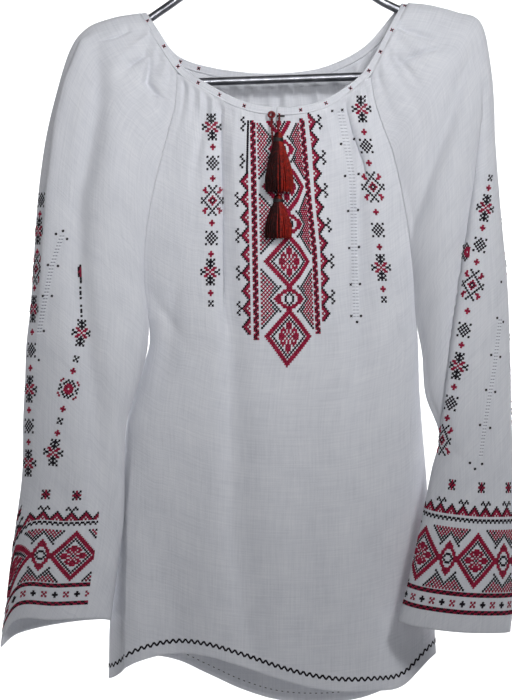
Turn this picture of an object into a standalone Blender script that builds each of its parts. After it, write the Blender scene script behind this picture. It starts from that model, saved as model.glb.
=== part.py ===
"""Embroidered linen shirt (vyshyvanka) hanging from a bent-tube clothes hanger.

The shirt is cut as a front, a back and two raglan sleeves, all gathered into one narrow
neckband that a tasselled cord ties at the centre front.  Each cut piece is its own wall of
cloth, a seam gap of 0.3 mm from its neighbours.

Tables are in millimetres.  X runs across the shirt from the line of the hook, Y runs from
front to back (the front faces -Y), and "drop" is the distance below the inside of the hook,
where a rail carries the hanger.  That point is the origin, with +Z up.
"""

import math

import bmesh
import bpy
import numpy as np

MM = 0.001

# ---------------------------------------------------------------- driving dimensions
CLOTH = 1.2                 # thickness of a cloth wall
SEAM_GAP = 0.3              # clear space between two cut pieces
BAND_THICKNESS = 2.4        # neckband: folded cloth over the gathered edges
BAND_WIDTH = 8.0
BAND_END_GAP = 3.0          # between the two ends of the neckband, at the centre front

TUBE_RADIUS = 4.25          # hanger arms and bar
HOOK_ROD_RADIUS = 2.5
HOOK_RADIUS = 19.5          # centre line of the hook's bend

CORD_RADIUS = 1.3
CORD_STEP = 2.5             # diameters from one point of a cord's rod to the next
TASSEL_WIDTH = 29.0
TASSEL_FLATNESS = 0.62      # front to back over side to side
LOCK_GAP = 0.4              # between the roots of two locks of thread
LOCK_UNEVENNESS = 2.5
LOCK_SWELL = 0.6            # share by which a lock is wider at its foot than at its root
LOCK_SIDES = 16             # locks round the outside of a tassel
LOCK_ROOT = 0.75            # where an outer lock's root lies, as a share of the head's radius
LOCK_DEPTH_SPREAD = 0.4     # how much less the locks spread to the front and back
LOCK_UPPER = 0.4            # share of its length where a lock bends from spreading to hanging
TASSEL_HEAD = ((0.0, 1.8), (1.5, 3.8), (4.5, 4.6), (7.0, 4.0), (11.0, 5.2))   # drop, radius

# Rows of the sleeve tables from the neckband (0) to the underarm, and on to the cuff.
UNDERARM = 7
RAGLAN_ROWS = (0, 0.25, 0.6, 1, 1.6, 2.3, 3, 4, 5, 6, 7)
SLEEVE_TUBE_ROWS = (7.7, 8.4, 9.2, 10, 11, 12, 13, 14)
SLEEVE_COLUMNS_AROUND = 30
FRONT_COLUMNS = 48
BACK_COLUMNS = 30

# Each row of a sleeve: where it meets the front, its outer fold, where it meets the back,
# the depth of its middle plane, how far it swells to the front and to the back, and how far
# round the section (degrees) the two seams lie.  From the underarm down the seams meet.
SLEEVE_NAMES = ("front_x", "front_drop", "outer_x", "outer_drop", "back_x", "back_drop",
                "middle", "swell_front", "swell_back", "front_angle", "back_angle")
LEFT_SLEEVE = (
    (-98, 226, -139, 161, -106, 210, -2, 27, 21, 80, 80),
    (-100, 255, -165, 166, -113, 246, -3, 30, 23, 72, 74),
    (-107, 283, -190, 176, -118, 282, -4, 33, 26, 62, 66),
    (-116, 318, -207, 201, -124, 315, -6, 34, 28, 52, 56),
    (-124, 353, -225, 264, -128, 355, -9, 34, 29, 42, 46),
    (-130, 390, -236, 326, -130, 395, -11, 33, 29, 30, 34),
    (-131, 430, -241, 390, -130, 433, -14, 31, 28, 16, 18),
    (-127, 468, -245, 458, -127, 468, -18, 30, 26, 0, 0),
    (-128, 498, -249, 498, -128, 498, -22, 29, 24, 0, 0),
    (-139, 532, -250, 535, -139, 532, -22, 27, 22, 0, 0),
    (-153, 572, -252, 575, -153, 572, -20, 26, 21, 0, 0),
    (-155, 620, -253, 622, -155, 620, -18, 25, 20, 0, 0),
    (-156, 670, -260, 672, -156, 670, -17, 25, 20, 0, 0),
    (-163, 722, -268, 726, -163, 722, -16, 25, 20, 0, 0),
    (-168, 770, -275, 784, -168, 770, -16, 26, 20, 0, 0),
)
RIGHT_SLEEVE = (
    (96, 230, 138, 151, 98, 200, -2, 27, 21, 80, 80),
    (100, 253, 160, 153, 106, 240, -3, 30, 23, 72, 74),
    (108, 278, 184, 159, 112, 279, -4, 33, 26, 62, 66),
    (117, 302, 208, 171, 120, 315, -6, 34, 28, 52, 56),
    (125, 335, 218, 222, 127, 353, -9, 34, 29, 42, 46),
    (132, 372, 222, 296, 134, 393, -11, 33, 29, 30, 34),
    (138, 415, 228, 373, 140, 433, -13, 31, 28, 16, 18),
    (142, 468, 234, 450, 142, 468, -16, 29, 26, 0, 0),
    (148, 505, 235, 505, 148, 505, -20, 27, 24, 0, 0),
    (151, 545, 236, 548, 151, 545, -26, 25, 22, 0, 0),
    (164, 584, 237, 590, 164, 584, -34, 22, 19, 0, 0),
    (156, 620, 238, 630, 156, 620, -42, 22, 18, 0, 0),
    (145, 672, 239, 680, 145, 672, -48, 23, 18, 0, 0),
    (133, 725, 238, 732, 133, 725, -52, 25, 18, 0, 0),
    (122, 768, 233, 779, 122, 768, -54, 26, 18, 0, 0),
)
# How much lower than its straight row the cuff hangs, round the sleeve from the underarm
# seam over the front (eighth turns: underarm, front, outer fold, back, underarm).
CUFF_HANG = {"left": (2, -4, -8, -12, 14, 4, 0, 0, 2), "right": (0, 3, 4, 2, 0, 2, 2, 2, 0)}
CUFF_HANG_FROM = 10         # sleeve row where that hang begins to show

# Side seams of the body from the underarm to the hem, with how far the front and back swell
# from them and how far round the section (degrees) they lie.
SIDE_NAMES = ("left_x", "left_depth", "left_drop", "right_x", "right_depth", "right_drop",
              "swell_front", "swell_back", "turn")
SIDE_SEAMS = (
    (-127, -18, 468, 142, -16, 468, 25, 36, 14),
    (-126, -13, 495, 144, -13, 500, 29, 35, 8),
    (-137, -6, 530, 145, -9, 535, 34, 33, 3),
    (-149, -1, 572, 148, -5, 575, 39, 33, 0),
    (-152, 2, 615, 152, -1, 620, 41, 33, 0),
    (-157, 7, 665, 155, 3, 668, 45, 32, 0),
    (-162, 11, 720, 158, 6, 722, 48, 31, 0),
    (-166, 13, 775, 161, 8, 770, 50, 31, 0),
    (-168, 14, 832, 163, 8, 806, 51, 31, 0),
)
# The body's swell and the turn of its sides on the rows between neckband and underarm.
YOKE_NAMES = ("swell_front", "swell_back", "turn")
YOKE = (
    (15, 4, 60),
    (13, 6, 57),
    (12, 9, 54),
    (12, 14, 50),
    (14, 19, 44),
    (17, 25, 36),
    (21, 31, 25),
    (25, 36, 14),
)
TURNED_AWAY = 0.15          # a normal this far to the back is on a sleeve's back, with no fold
CORNER = 0.72               # below 1, the sides of the body turn more squarely

# Drop of the neckline's lower edge and of the hems, across the body from left to right.
FRONT_NECK_DROP = (226, 238, 249, 259, 265, 267, 267, 264, 257, 244, 230)
BACK_NECK_DROP = (210, 217, 222, 225, 227, 228, 227, 225, 220, 211, 200)
FRONT_HEM_DROP = (832, 812, 804, 806, 815, 826, 835, 840, 840, 836, 806)
BACK_HEM_DROP = (832, 814, 816, 830, 846, 856, 860, 859, 852, 836, 806)

# Long folds.  Each runs down through its points; "trough" is its depth into the cloth
# (negative stands out), and it widens from the first to the last width.
FRONT_FOLDS = (
    {"x": (-53, -50, -48, -46, -42, -28, 0), "drop": (262, 330, 450, 560, 680, 770, 830),
     "trough": (3, 6, 6, 5, 5, 4, 2), "width": (6, 8, 11, 20, 26, 30, 34)},
    {"x": (86, 84, 84, 88), "drop": (300, 380, 500, 620),
     "trough": (1, 4, 4, 0), "width": (10, 14, 18, 22)},
    {"x": (-112, -104, -96), "drop": (640, 740, 840),
     "trough": (0, 4, 8), "width": (18, 22, 28)},
    {"x": (60, 66, 70), "drop": (560, 700, 850),
     "trough": (0, -4, -8), "width": (30, 40, 50)},
    {"x": (128, 130, 132), "drop": (640, 740, 830),
     "trough": (0, 4, 7), "width": (14, 18, 22)},
)
BACK_FOLDS = (
    {"x": (-60, -55, -66, -72), "drop": (240, 400, 620, 860),
     "trough": (2, 7, 8, 9), "width": (10, 18, 24, 30)},
    {"x": (18, 10, 4, 8), "drop": (240, 420, 640, 860),
     "trough": (2, 6, 8, 7), "width": (9, 16, 26, 32)},
    {"x": (78, 86, 84, 92), "drop": (240, 380, 600, 850),
     "trough": (2, 6, 7, 8), "width": (10, 16, 22, 26)},
)
LEFT_SLEEVE_FOLDS = (
    {"x": (-178, -176, -184, -197, -196, -186, -177, -172, -171),
     "drop": (190, 245, 290, 350, 430, 500, 560, 620, 700),
     "trough": (1, 5, 7, 7, 7, 7, 7, 6, 1), "width": (9, 11, 13, 15, 16, 15, 14, 12, 12)},
)
RIGHT_SLEEVE_FOLDS = (
    {"x": (204, 188, 170, 152, 138), "drop": (196, 235, 285, 335, 385),
     "trough": (2, 6, 7, 5, 1), "width": (10, 12, 14, 14, 14)},
    {"x": (211, 207, 198, 188, 178, 169), "drop": (240, 325, 400, 480, 540, 582),
     "trough": (2, 6, 8, 8, 6, 2), "width": (8, 10, 11, 11, 10, 8)},
)
# Gathers below the neckband: place along the gathered edge (0 to 1), depth, half width and
# how far down the cloth each runs.
FRONT_GATHERS = (
    (0.04, 2.4, 3.6, 44), (0.10, 2.0, 3.2, 30), (0.165, 2.7, 3.8, 62), (0.23, 2.2, 3.2, 36),
    (0.30, 1.6, 3.2, 30), (0.40, 1.2, 3.6, 22), (0.60, 1.2, 3.6, 22), (0.70, 1.5, 3.4, 28),
    (0.78, 2.2, 3.4, 40), (0.85, 2.6, 3.6, 58), (0.91, 2.1, 3.2, 34), (0.965, 2.2, 3.2, 40),
)
BACK_GATHERS = (
    (0.07, 2.4, 4.6, 50), (0.17, 2.6, 5.0, 64), (0.28, 2.2, 4.6, 44), (0.38, 2.6, 5.0, 70),
    (0.49, 2.3, 4.6, 48), (0.59, 2.6, 5.0, 66), (0.70, 2.2, 4.6, 46), (0.81, 2.6, 5.0, 62),
    (0.92, 2.3, 4.6, 46),
)
SLEEVE_GATHERS = (
    (0.07, 2.0, 4.0, 40), (0.18, 2.6, 4.6, 66), (0.29, 2.0, 4.2, 44), (0.38, 1.6, 4.2, 40),
    (0.64, 1.6, 4.2, 36), (0.74, 2.4, 4.6, 56), (0.84, 2.0, 4.2, 44), (0.94, 2.0, 4.0, 40),
)

# Centre line of the hanger's tube: one closed loop of two arms and the trouser bar.
HANGER_LOOP = (
    (0, 78), (-12, 84), (-60, 118), (-108, 152.9), (-130, 168), (-147, 172),
    (-170, 178.4), (-184, 185), (-194.8, 197.8), (-199.6, 213), (-192, 227), (-180, 232.5),
    (-150, 232), (150, 221.5), (182, 220), (195, 216), (202.4, 206), (202.8, 194),
    (197.5, 181.2), (180, 170.6), (160, 164.3), (142, 160.1), (126, 157), (108, 148.4),
    (60, 115.5), (12, 83),
)
HOOK_FROM = -10             # degrees from level at the hook's tip, and where its bend ends
HOOK_TO = 230
HOOK_BEND_STEPS = 16
HOOK_NECK = ((6.0, 3.0), (0.5, 9.0), (0.0, 16.0))   # X and drop below the bend, into the stem

# The two cord ends from the neckband to the heads of their tassels (x, depth, drop), and the
# length of each tassel from its head to its feet.
TIE = {
    "short": {"cord": ((4, -47.8, 265), (4, -51.5, 270), (3.2, -55.8, 276.5), (3, -56.5, 284)),
              "tassel": 59.0},
    "long": {"cord": ((-2.5, -47.8, 265), (-3.5, -49.4, 276), (-2, -48.4, 296),
                      (0.5, -48.4, 318), (2.5, -48.8, 334), (3, -51.5, 346)),
             "tassel": 43.0},
}


# ---------------------------------------------------------------- tables and smooth curves
def named(names, rows):
    """Return a table's columns by name."""
    columns = np.array(rows, dtype=float).T
    return dict(zip(names, columns))


def smooth(values, place):
    """Read a list of values at a fractional row, along a Catmull-Rom curve."""
    values = np.asarray(values, dtype=float)
    last = len(values) - 1
    row = min(int(place), last - 1)
    step = place - row
    before = values[max(row - 1, 0)]
    start = values[row]
    end = values[row + 1]
    after = values[min(row + 2, last)]
    slope_in = (end - before) / 2
    slope_out = (after - start) / 2
    bend = 2 * start - 2 * end + slope_in + slope_out
    rise = 3 * end - 3 * start - 2 * slope_in - slope_out
    return start + slope_in * step + rise * step ** 2 + bend * step ** 3


def across(values, share):
    """Read evenly spaced values at a share (0 to 1) of their length."""
    return smooth(values, share * (len(values) - 1))


def unit(vectors):
    """Scale each vector to length 1."""
    return vectors / np.linalg.norm(vectors, axis=-1, keepdims=True)


# ---------------------------------------------------------------- cloth surfaces
def sleeve_ring(rows, place, hang):
    """Points round a sleeve at one row, from the front seam over the outer fold to the back."""
    read = {name: smooth(column, place) for name, column in rows.items()}
    front = np.array([read["front_x"], read["front_drop"]])
    outer = np.array([read["outer_x"], read["outer_drop"]])
    back = np.array([read["back_x"], read["back_drop"]])
    fading = max(0.0, (place - CUFF_HANG_FROM) / (len(rows["middle"]) - 1 - CUFF_HANG_FROM))
    ring = []
    for column in range(SLEEVE_COLUMNS_AROUND + 1):
        share = column / SLEEVE_COLUMNS_AROUND
        if share <= 0.5:
            first = math.radians(max(read["front_angle"], 0.0))
            angle = first + (math.pi - first) * share * 2
            seam = front
            depth = read["middle"] - read["swell_front"] * math.sin(angle)
        else:
            first = math.radians(max(read["back_angle"], 0.0))
            angle = first + (math.pi - first) * (1 - share) * 2
            seam = back
            depth = read["middle"] + read["swell_back"] * math.sin(angle)
        outward = (math.cos(first) - math.cos(angle)) / (1 + math.cos(first))
        spot = seam + (outer - seam) * outward
        drop = spot[1] + across(hang, share) * fading ** 2
        ring.append((spot[0], depth, -drop))
    return ring


def body_row(left, right, swell, turn, columns, facing):
    """Points of one row of the front (facing -1) or back (facing 1), left to right."""
    start = math.radians(turn)
    lift = math.sin(start) ** CORNER
    row = []
    for column in range(columns + 1):
        angle = start + (math.pi - 2 * start) * column / columns
        share = 0.5 - math.cos(angle) / (2 * math.cos(start))
        bulge = (max(math.sin(angle), 0.0) ** CORNER - lift) / (1 - lift)
        spot = left + (right - left) * share
        row.append((spot[0], spot[1] + facing * swell * bulge, spot[2]))
    return row


def body_panel(left_seam, right_seam, columns, facing, neck_drop, hem_drop):
    """Rows of the front or back from its neckline down its two seams to its hem."""
    yoke = named(YOKE_NAMES, YOKE)
    sides = named(SIDE_NAMES, SIDE_SEAMS)
    swell_name = "swell_front" if facing < 0 else "swell_back"
    rows = []
    for index, place in enumerate(RAGLAN_ROWS):
        swell = smooth(yoke[swell_name], place)
        turn = smooth(yoke["turn"], place)
        rows.append(body_row(left_seam[index], right_seam[index], swell, turn, columns, facing))
    for index in range(1, len(SIDE_SEAMS)):
        left = np.array([sides["left_x"][index], sides["left_depth"][index],
                         -sides["left_drop"][index]])
        right = np.array([sides["right_x"][index], sides["right_depth"][index],
                          -sides["right_drop"][index]])
        rows.append(body_row(left, right, sides[swell_name][index], sides["turn"][index],
                             columns, facing))
    grid = np.array(rows)
    last = len(grid) - 1
    for column in range(columns + 1):
        share = (grid[0, column, 0] - grid[0, 0, 0]) / (grid[0, -1, 0] - grid[0, 0, 0])
        at_neck = -across(neck_drop, share) - grid[0, column, 2]
        share = (grid[last, column, 0] - grid[last, 0, 0]) / (grid[last, -1, 0] - grid[last, 0, 0])
        at_hem = -across(hem_drop, share) - grid[last, column, 2]
        for row in range(last + 1):
            if row < len(RAGLAN_ROWS):
                grid[row, column, 2] += at_neck * (1 - RAGLAN_ROWS[row] / UNDERARM)
            else:
                near_hem = (row - len(RAGLAN_ROWS) + 1) / (len(SIDE_SEAMS) - 1)
                grid[row, column, 2] += at_hem * near_hem ** 2
    return grid


def surface_normals(grid, facing_out):
    """Unit normals of a grid of points, turned to the garment's outside."""
    along = np.gradient(grid, axis=1)
    down = np.gradient(grid, axis=0)
    return unit(np.cross(along, down)) * facing_out


def press_folds(grid, normals, folds, front_only):
    """Push the long folds into a grid of points along its normals."""
    shaped = grid.copy()
    for fold in folds:
        top = fold["drop"][0]
        bottom = fold["drop"][-1]
        for index in np.ndindex(grid.shape[:2]):
            x, _, z = grid[index]
            drop = -z
            if drop < top or drop > bottom:
                continue
            if front_only and normals[index][1] > TURNED_AWAY:
                continue
            centre = np.interp(drop, fold["drop"], fold["x"])
            trough = np.interp(drop, fold["drop"], fold["trough"])
            width = np.interp(drop, fold["drop"], fold["width"])
            reach = (x - centre) / width
            shaped[index] -= normals[index] * trough * math.exp(-reach ** 2)
    return shaped


def press_gathers(grid, normals, gathers):
    """Push the gathers below the neckband into a grid of points along its normals."""
    shaped = grid.copy()
    edge = np.linalg.norm(np.diff(grid[0], axis=0), axis=1)
    along = np.concatenate(([0.0], np.cumsum(edge)))
    below = np.linalg.norm(grid - grid[0], axis=2)
    for place, depth, half_width, reach in gathers:
        for row, column in np.ndindex(grid.shape[:2]):
            if column in (0, grid.shape[1] - 1):
                continue
            away = (along[column] - place * along[-1]) / half_width
            fade = math.exp(-(below[row, column] / reach) ** 1.5)
            shaped[row, column] -= normals[row, column] * depth * fade * math.exp(-away ** 2)
    return shaped


def share_normals(first, second):
    """Give two edges that are sewn together the same normals, so their ends stay parallel."""
    shared = unit(first + second)
    first[:] = shared
    second[:] = shared


def join_raglan(body, body_normals, sleeve, sleeve_normals, sideways):
    """Fit a raglan seam row by row: panels that meet like a wall get one shared normal, and
    panels that lie face to face, towards the underarm, are parted sideways by their cloth."""
    for row in range(len(RAGLAN_ROWS)):
        if np.dot(body_normals[row], sleeve_normals[row]) > 0:
            share_normals(body_normals[row], sleeve_normals[row])
        else:
            body[row, 0] += sideways * (CLOTH + SEAM_GAP) / 2
            sleeve[row, 0] -= sideways * (CLOTH + SEAM_GAP) / 2


def step_back_from_sides(grid, gap):
    """Move the first and last columns of a grid half a gap inwards."""
    moved = grid.copy()
    for edge, inside in ((0, 1), (-1, -2)):
        moved[:, edge] += unit(grid[:, inside] - grid[:, edge]) * gap / 2
    return moved


# ---------------------------------------------------------------- building solids
def clear_scene():
    """Remove every object that the file opened with."""
    for old in list(bpy.data.objects):
        bpy.data.objects.remove(old, do_unlink=True)


def material(name, colour, roughness, metallic=0.0):
    """Principled material of one colour."""
    made = bpy.data.materials.new(name)
    made.use_nodes = True
    shader = made.node_tree.nodes["Principled BSDF"]
    shader.inputs["Base Color"].default_value = (*colour, 1.0)
    shader.inputs["Roughness"].default_value = roughness
    shader.inputs["Metallic"].default_value = metallic
    made.diffuse_color = (*colour, 1.0)
    return made


def place_mesh(name, shape, surface):
    """Turn a bmesh into a named object with a material."""
    mesh = bpy.data.meshes.new(name)
    shape.to_mesh(mesh)
    shape.free()
    mesh.materials.append(surface)
    made = bpy.data.objects.new(name, mesh)
    bpy.context.scene.collection.objects.link(made)
    return made


def cloth_wall(name, grid, normals, thickness, surface):
    """Closed wall of cloth about a grid of points, with its rim."""
    shape = bmesh.new()
    half = normals * thickness / 2
    rows, columns = grid.shape[:2]
    outer = [[shape.verts.new(point * MM) for point in row] for row in grid + half]
    inner = [[shape.verts.new(point * MM) for point in row] for row in grid - half]
    for row in range(rows - 1):
        for column in range(columns - 1):
            for side in (outer, inner):
                corners = (side[row][column], side[row + 1][column],
                           side[row + 1][column + 1], side[row][column + 1])
                shape.faces.new(corners[:3])
                shape.faces.new((corners[0], corners[2], corners[3]))
    top = [(0, column) for column in range(columns)]
    right = [(row, columns - 1) for row in range(1, rows)]
    bottom = [(rows - 1, column) for column in range(columns - 2, -1, -1)]
    left = [(row, 0) for row in range(rows - 2, 0, -1)]
    rim = top + right + bottom + left
    for index, spot in enumerate(rim):
        following = rim[(index + 1) % len(rim)]
        shape.faces.new((outer[spot[0]][spot[1]], outer[following[0]][following[1]],
                         inner[following[0]][following[1]], inner[spot[0]][spot[1]]))
    bmesh.ops.recalc_face_normals(shape, faces=shape.faces)
    made = place_mesh(name, shape, surface)
    made.data.shade_smooth()
    made.data.set_sharp_from_angle(angle=math.radians(50))
    return made


def round_rod(name, points, radius, surface, closed=False, sides=2):
    """Rod of round section along a list of points."""
    line = bpy.data.curves.new(name, "CURVE")
    line.dimensions = "3D"
    line.bevel_depth = radius * MM
    line.bevel_resolution = sides
    line.use_fill_caps = True
    track = line.splines.new("POLY")
    track.points.add(len(points) - 1)
    for spot, point in zip(track.points, points):
        spot.co = (point[0] * MM, point[1] * MM, point[2] * MM, 1.0)
    track.use_cyclic_u = closed
    track.use_smooth = True
    line.materials.append(surface)
    made = bpy.data.objects.new(name, line)
    bpy.context.scene.collection.objects.link(made)
    return made


# ---------------------------------------------------------------- the shirt
def build_shirt(linen):
    """Front, back, two sleeves and the neckband."""
    sleeves = {}
    for side, rows in (("left", LEFT_SLEEVE), ("right", RIGHT_SLEEVE)):
        columns = named(SLEEVE_NAMES, rows)
        places = RAGLAN_ROWS + SLEEVE_TUBE_ROWS
        rings = [sleeve_ring(columns, place, CUFF_HANG[side]) for place in places]
        sleeves[side] = np.array(rings)

    raglan = len(RAGLAN_ROWS)
    front = body_panel(sleeves["left"][:raglan, 0], sleeves["right"][:raglan, 0],
                       FRONT_COLUMNS, -1, FRONT_NECK_DROP, FRONT_HEM_DROP)
    back = body_panel(sleeves["left"][:raglan, -1], sleeves["right"][:raglan, -1],
                      BACK_COLUMNS, 1, BACK_NECK_DROP, BACK_HEM_DROP)

    grids = {"front": front, "back": back,
             "left_sleeve": sleeves["left"], "right_sleeve": sleeves["right"]}
    outward = {"front": -1, "back": 1, "left_sleeve": 1, "right_sleeve": -1}
    folds = {"front": FRONT_FOLDS, "back": BACK_FOLDS,
             "left_sleeve": LEFT_SLEEVE_FOLDS, "right_sleeve": RIGHT_SLEEVE_FOLDS}
    gathers = {"front": FRONT_GATHERS, "back": BACK_GATHERS,
               "left_sleeve": SLEEVE_GATHERS, "right_sleeve": SLEEVE_GATHERS}
    plain_grids = dict(grids)
    plain_normals = {}
    normals = {}
    for name, grid in plain_grids.items():
        plain = surface_normals(grid, outward[name])
        folded = press_folds(grid, plain, folds[name], "sleeve" in name)
        grids[name] = press_gathers(folded, plain, gathers[name])
        normals[name] = surface_normals(grids[name], outward[name])
        plain_normals[name] = plain

    trimmed = {name: step_back_from_sides(grid, SEAM_GAP) for name, grid in grids.items()}
    for body in ("front", "back"):
        sleeve_edge = 0 if body == "front" else -1
        for sleeve, body_edge, sideways in (("left_sleeve", 0, 1), ("right_sleeve", -1, -1)):
            join_raglan(trimmed[body][:, body_edge], normals[body][:, body_edge],
                        trimmed[sleeve][:, sleeve_edge], normals[sleeve][:, sleeve_edge],
                        sideways)
    for edge in (0, -1):
        share_normals(normals["front"][raglan - 1:, edge], normals["back"][raglan - 1:, edge])
    for sleeve in ("left_sleeve", "right_sleeve"):
        share_normals(normals[sleeve][raglan - 1:, 0], normals[sleeve][raglan - 1:, -1])

    for name, grid in trimmed.items():
        cloth_wall(name, grid, normals[name], CLOTH, linen)
    build_neckband(plain_grids, plain_normals, linen)


def build_neckband(grids, normals, linen):
    """Narrow band above the gathered edges, its two ends meeting at the centre front."""
    edge = []
    upward = []
    outward = []
    for name, order in (("front", 1), ("right_sleeve", 1), ("back", -1), ("left_sleeve", -1)):
        top = grids[name][0, ::2 * order]
        below = grids[name][2, ::2 * order]
        edge.extend(top[:-1])
        upward.extend(unit(top - below)[:-1])
        outward.extend(normals[name][0, ::2 * order][:-1])
    ends = -(FRONT_COLUMNS // 4)
    edge = even_out(closed_run(edge, ends), 2)
    upward = even_out(closed_run(upward, ends), 4)
    outward = even_out(closed_run(outward, ends), 4)
    along = unit(np.gradient(edge, axis=0))
    upward = unit(upward - along * np.sum(upward * along, axis=1, keepdims=True))
    facing = np.cross(along, upward)
    facing *= np.sign(np.sum(facing * outward, axis=1, keepdims=True))
    low = edge + upward * (SEAM_GAP + CLOTH / 2)
    grid = np.array([low + upward * BAND_WIDTH * share for share in (1.0, 0.5, 0.0)])
    trimmed = step_back_from_sides(grid, BAND_END_GAP)
    cloth_wall("neckband", trimmed, np.array([facing] * 3), BAND_THICKNESS, linen)


def closed_run(points, start):
    """Turn a closed run of points to begin at another one, and repeat that one at its end."""
    turned = np.roll(np.array(points), start, axis=0)
    return np.vstack((turned, turned[:1]))


def even_out(line, times):
    """Smooth a line of points, keeping its ends."""
    eased = line.copy()
    for _ in range(times):
        eased[1:-1] = (eased[:-2] + 2 * eased[1:-1] + eased[2:]) / 4
    return eased


# ---------------------------------------------------------------- the tie
def build_tassel(name, head, length, thread):
    """Tassel of separate thread locks that hang from one bound head."""
    root_drop, root_radius = TASSEL_HEAD[-1]

    def spot(angle, radius, drop):
        return ((head[0] + radius * math.cos(angle)) * MM,
                (head[1] + TASSEL_FLATNESS * radius * math.sin(angle)) * MM,
                (head[2] - drop) * MM)

    shape = bmesh.new()
    angles = [2 * math.pi * index / LOCK_SIDES for index in range(LOCK_SIDES)]
    loops = [[shape.verts.new(spot(angle, radius, drop)) for angle in angles]
             for drop, radius in TASSEL_HEAD]
    loops.append([shape.verts.new(spot(angle, root_radius / 2, root_drop)) for angle in angles])
    centre = shape.verts.new(spot(0, 0, root_drop))
    shape.faces.new(loops[0])
    roots = []
    for level, (upper, lower) in enumerate(zip(loops, loops[1:])):
        for index in range(LOCK_SIDES):
            after = (index + 1) % LOCK_SIDES
            side = shape.faces.new((upper[index], upper[after], lower[after], lower[index]))
            if level == len(TASSEL_HEAD) - 1:
                roots.append(side)
    for index in range(0, LOCK_SIDES, 2):
        after = (index + 1) % LOCK_SIDES
        last = (index + 2) % LOCK_SIDES
        roots.append(shape.faces.new((loops[-1][index], loops[-1][after], loops[-1][last],
                                      centre)))
    bmesh.ops.recalc_face_normals(shape, faces=shape.faces)
    bmesh.ops.inset_individual(shape, faces=roots, thickness=LOCK_GAP / 2 * MM,
                               use_even_offset=True)
    for index, root in enumerate(roots):
        uneven = LOCK_UNEVENNESS * (index * 7 % 5) / 4
        hang_lock(shape, root, head, root_radius, root_drop, length - root_drop - uneven)
    bmesh.ops.triangulate(shape, faces=shape.faces)
    bmesh.ops.recalc_face_normals(shape, faces=shape.faces)
    return place_mesh(name, shape, thread)


def hang_lock(shape, root, head, root_radius, root_drop, length):
    """Draw one root face down into a lock that spreads away from the tassel's middle."""
    middle = root.calc_center_median()
    away_x = middle.x - head[0] * MM
    away_y = middle.y - head[1] * MM
    spread = (TASSEL_WIDTH / 2 - root_radius) / (LOCK_ROOT * root_radius)
    at_root = [vert.co.copy() for vert in root.verts]
    face = root
    for share in (LOCK_UPPER, 1.0):
        face = bmesh.ops.extrude_discrete_faces(shape, faces=[face])["faces"][0]
        reach = spread * share ** 0.7
        for vert, start in zip(face.verts, at_root):
            vert.co.x = start.x + away_x * reach + (start.x - middle.x) * LOCK_SWELL * share
            vert.co.y = start.y + away_y * reach * LOCK_DEPTH_SPREAD
            vert.co.z = (head[2] - root_drop - length * share) * MM


def cord_track(points, step):
    """Points every few millimetres along a smooth curve through a cord's route."""
    route = np.array([(x, depth, -drop) for x, depth, drop in points], dtype=float)
    fine = np.array([across(route, share) for share in np.linspace(0, 1, 200)])
    run = np.concatenate(([0.0], np.cumsum(np.linalg.norm(np.diff(fine, axis=0), axis=1))))
    count = max(2, round(run[-1] / step))
    stops = np.linspace(0, run[-1], count + 1)
    return np.stack([np.interp(stops, run, fine[:, axis]) for axis in range(3)], axis=1)


def build_tie(thread):
    """Two cord ends with a tassel each."""
    for name, end in TIE.items():
        track = cord_track(end["cord"], CORD_STEP * 2 * CORD_RADIUS)
        round_rod("cord_" + name, track, CORD_RADIUS, thread)
        x, depth, drop = end["cord"][-1]
        build_tassel("tassel_" + name, (x, depth, -drop - SEAM_GAP), end["tassel"], thread)


# ---------------------------------------------------------------- the hanger
def build_hanger(chrome):
    """Closed loop of tube with its hook."""
    loop = [(x, 0.0, -drop) for x, drop in HANGER_LOOP]
    round_rod("hanger_frame", loop, TUBE_RADIUS, chrome, closed=True, sides=3)

    centre_drop = HOOK_RADIUS - HOOK_ROD_RADIUS
    hook = []
    for index in range(HOOK_BEND_STEPS + 1):
        angle = math.radians(HOOK_FROM + (HOOK_TO - HOOK_FROM) * index / HOOK_BEND_STEPS)
        hook.append((-HOOK_RADIUS * math.cos(angle), 0.0,
                     HOOK_RADIUS * math.sin(angle) - centre_drop))
    for x, below in HOOK_NECK:
        hook.append((x, 0.0, -centre_drop - HOOK_RADIUS - below))
    apex_drop = HANGER_LOOP[0][1]
    hook.append((0.0, 0.0, -(apex_drop - TUBE_RADIUS - SEAM_GAP)))
    round_rod("hanger_hook", hook, HOOK_ROD_RADIUS, chrome, sides=2)


def build():
    """Make the shirt, its tie and its hanger."""
    clear_scene()
    linen = material("linen", (0.78, 0.79, 0.84), 0.9)
    thread = material("tassel thread", (0.18, 0.01, 0.02), 0.7)
    chrome = material("chromed tube", (0.55, 0.56, 0.58), 0.15, 1.0)
    build_shirt(linen)
    build_tie(thread)
    build_hanger(chrome)


build()
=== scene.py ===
"""Embroidered linen shirt with raglan sleeves and a tasselled tie, on a tube clothes hanger.

Tables are in millimetres: X across from the line of the hook, Y from front to back, and "drop"
the distance below the inside of the hook, where a rail carries the hanger.
"""
import math

import bmesh
import bpy
import numpy as np
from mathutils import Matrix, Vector
from mathutils.bvhtree import BVHTree


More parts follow.
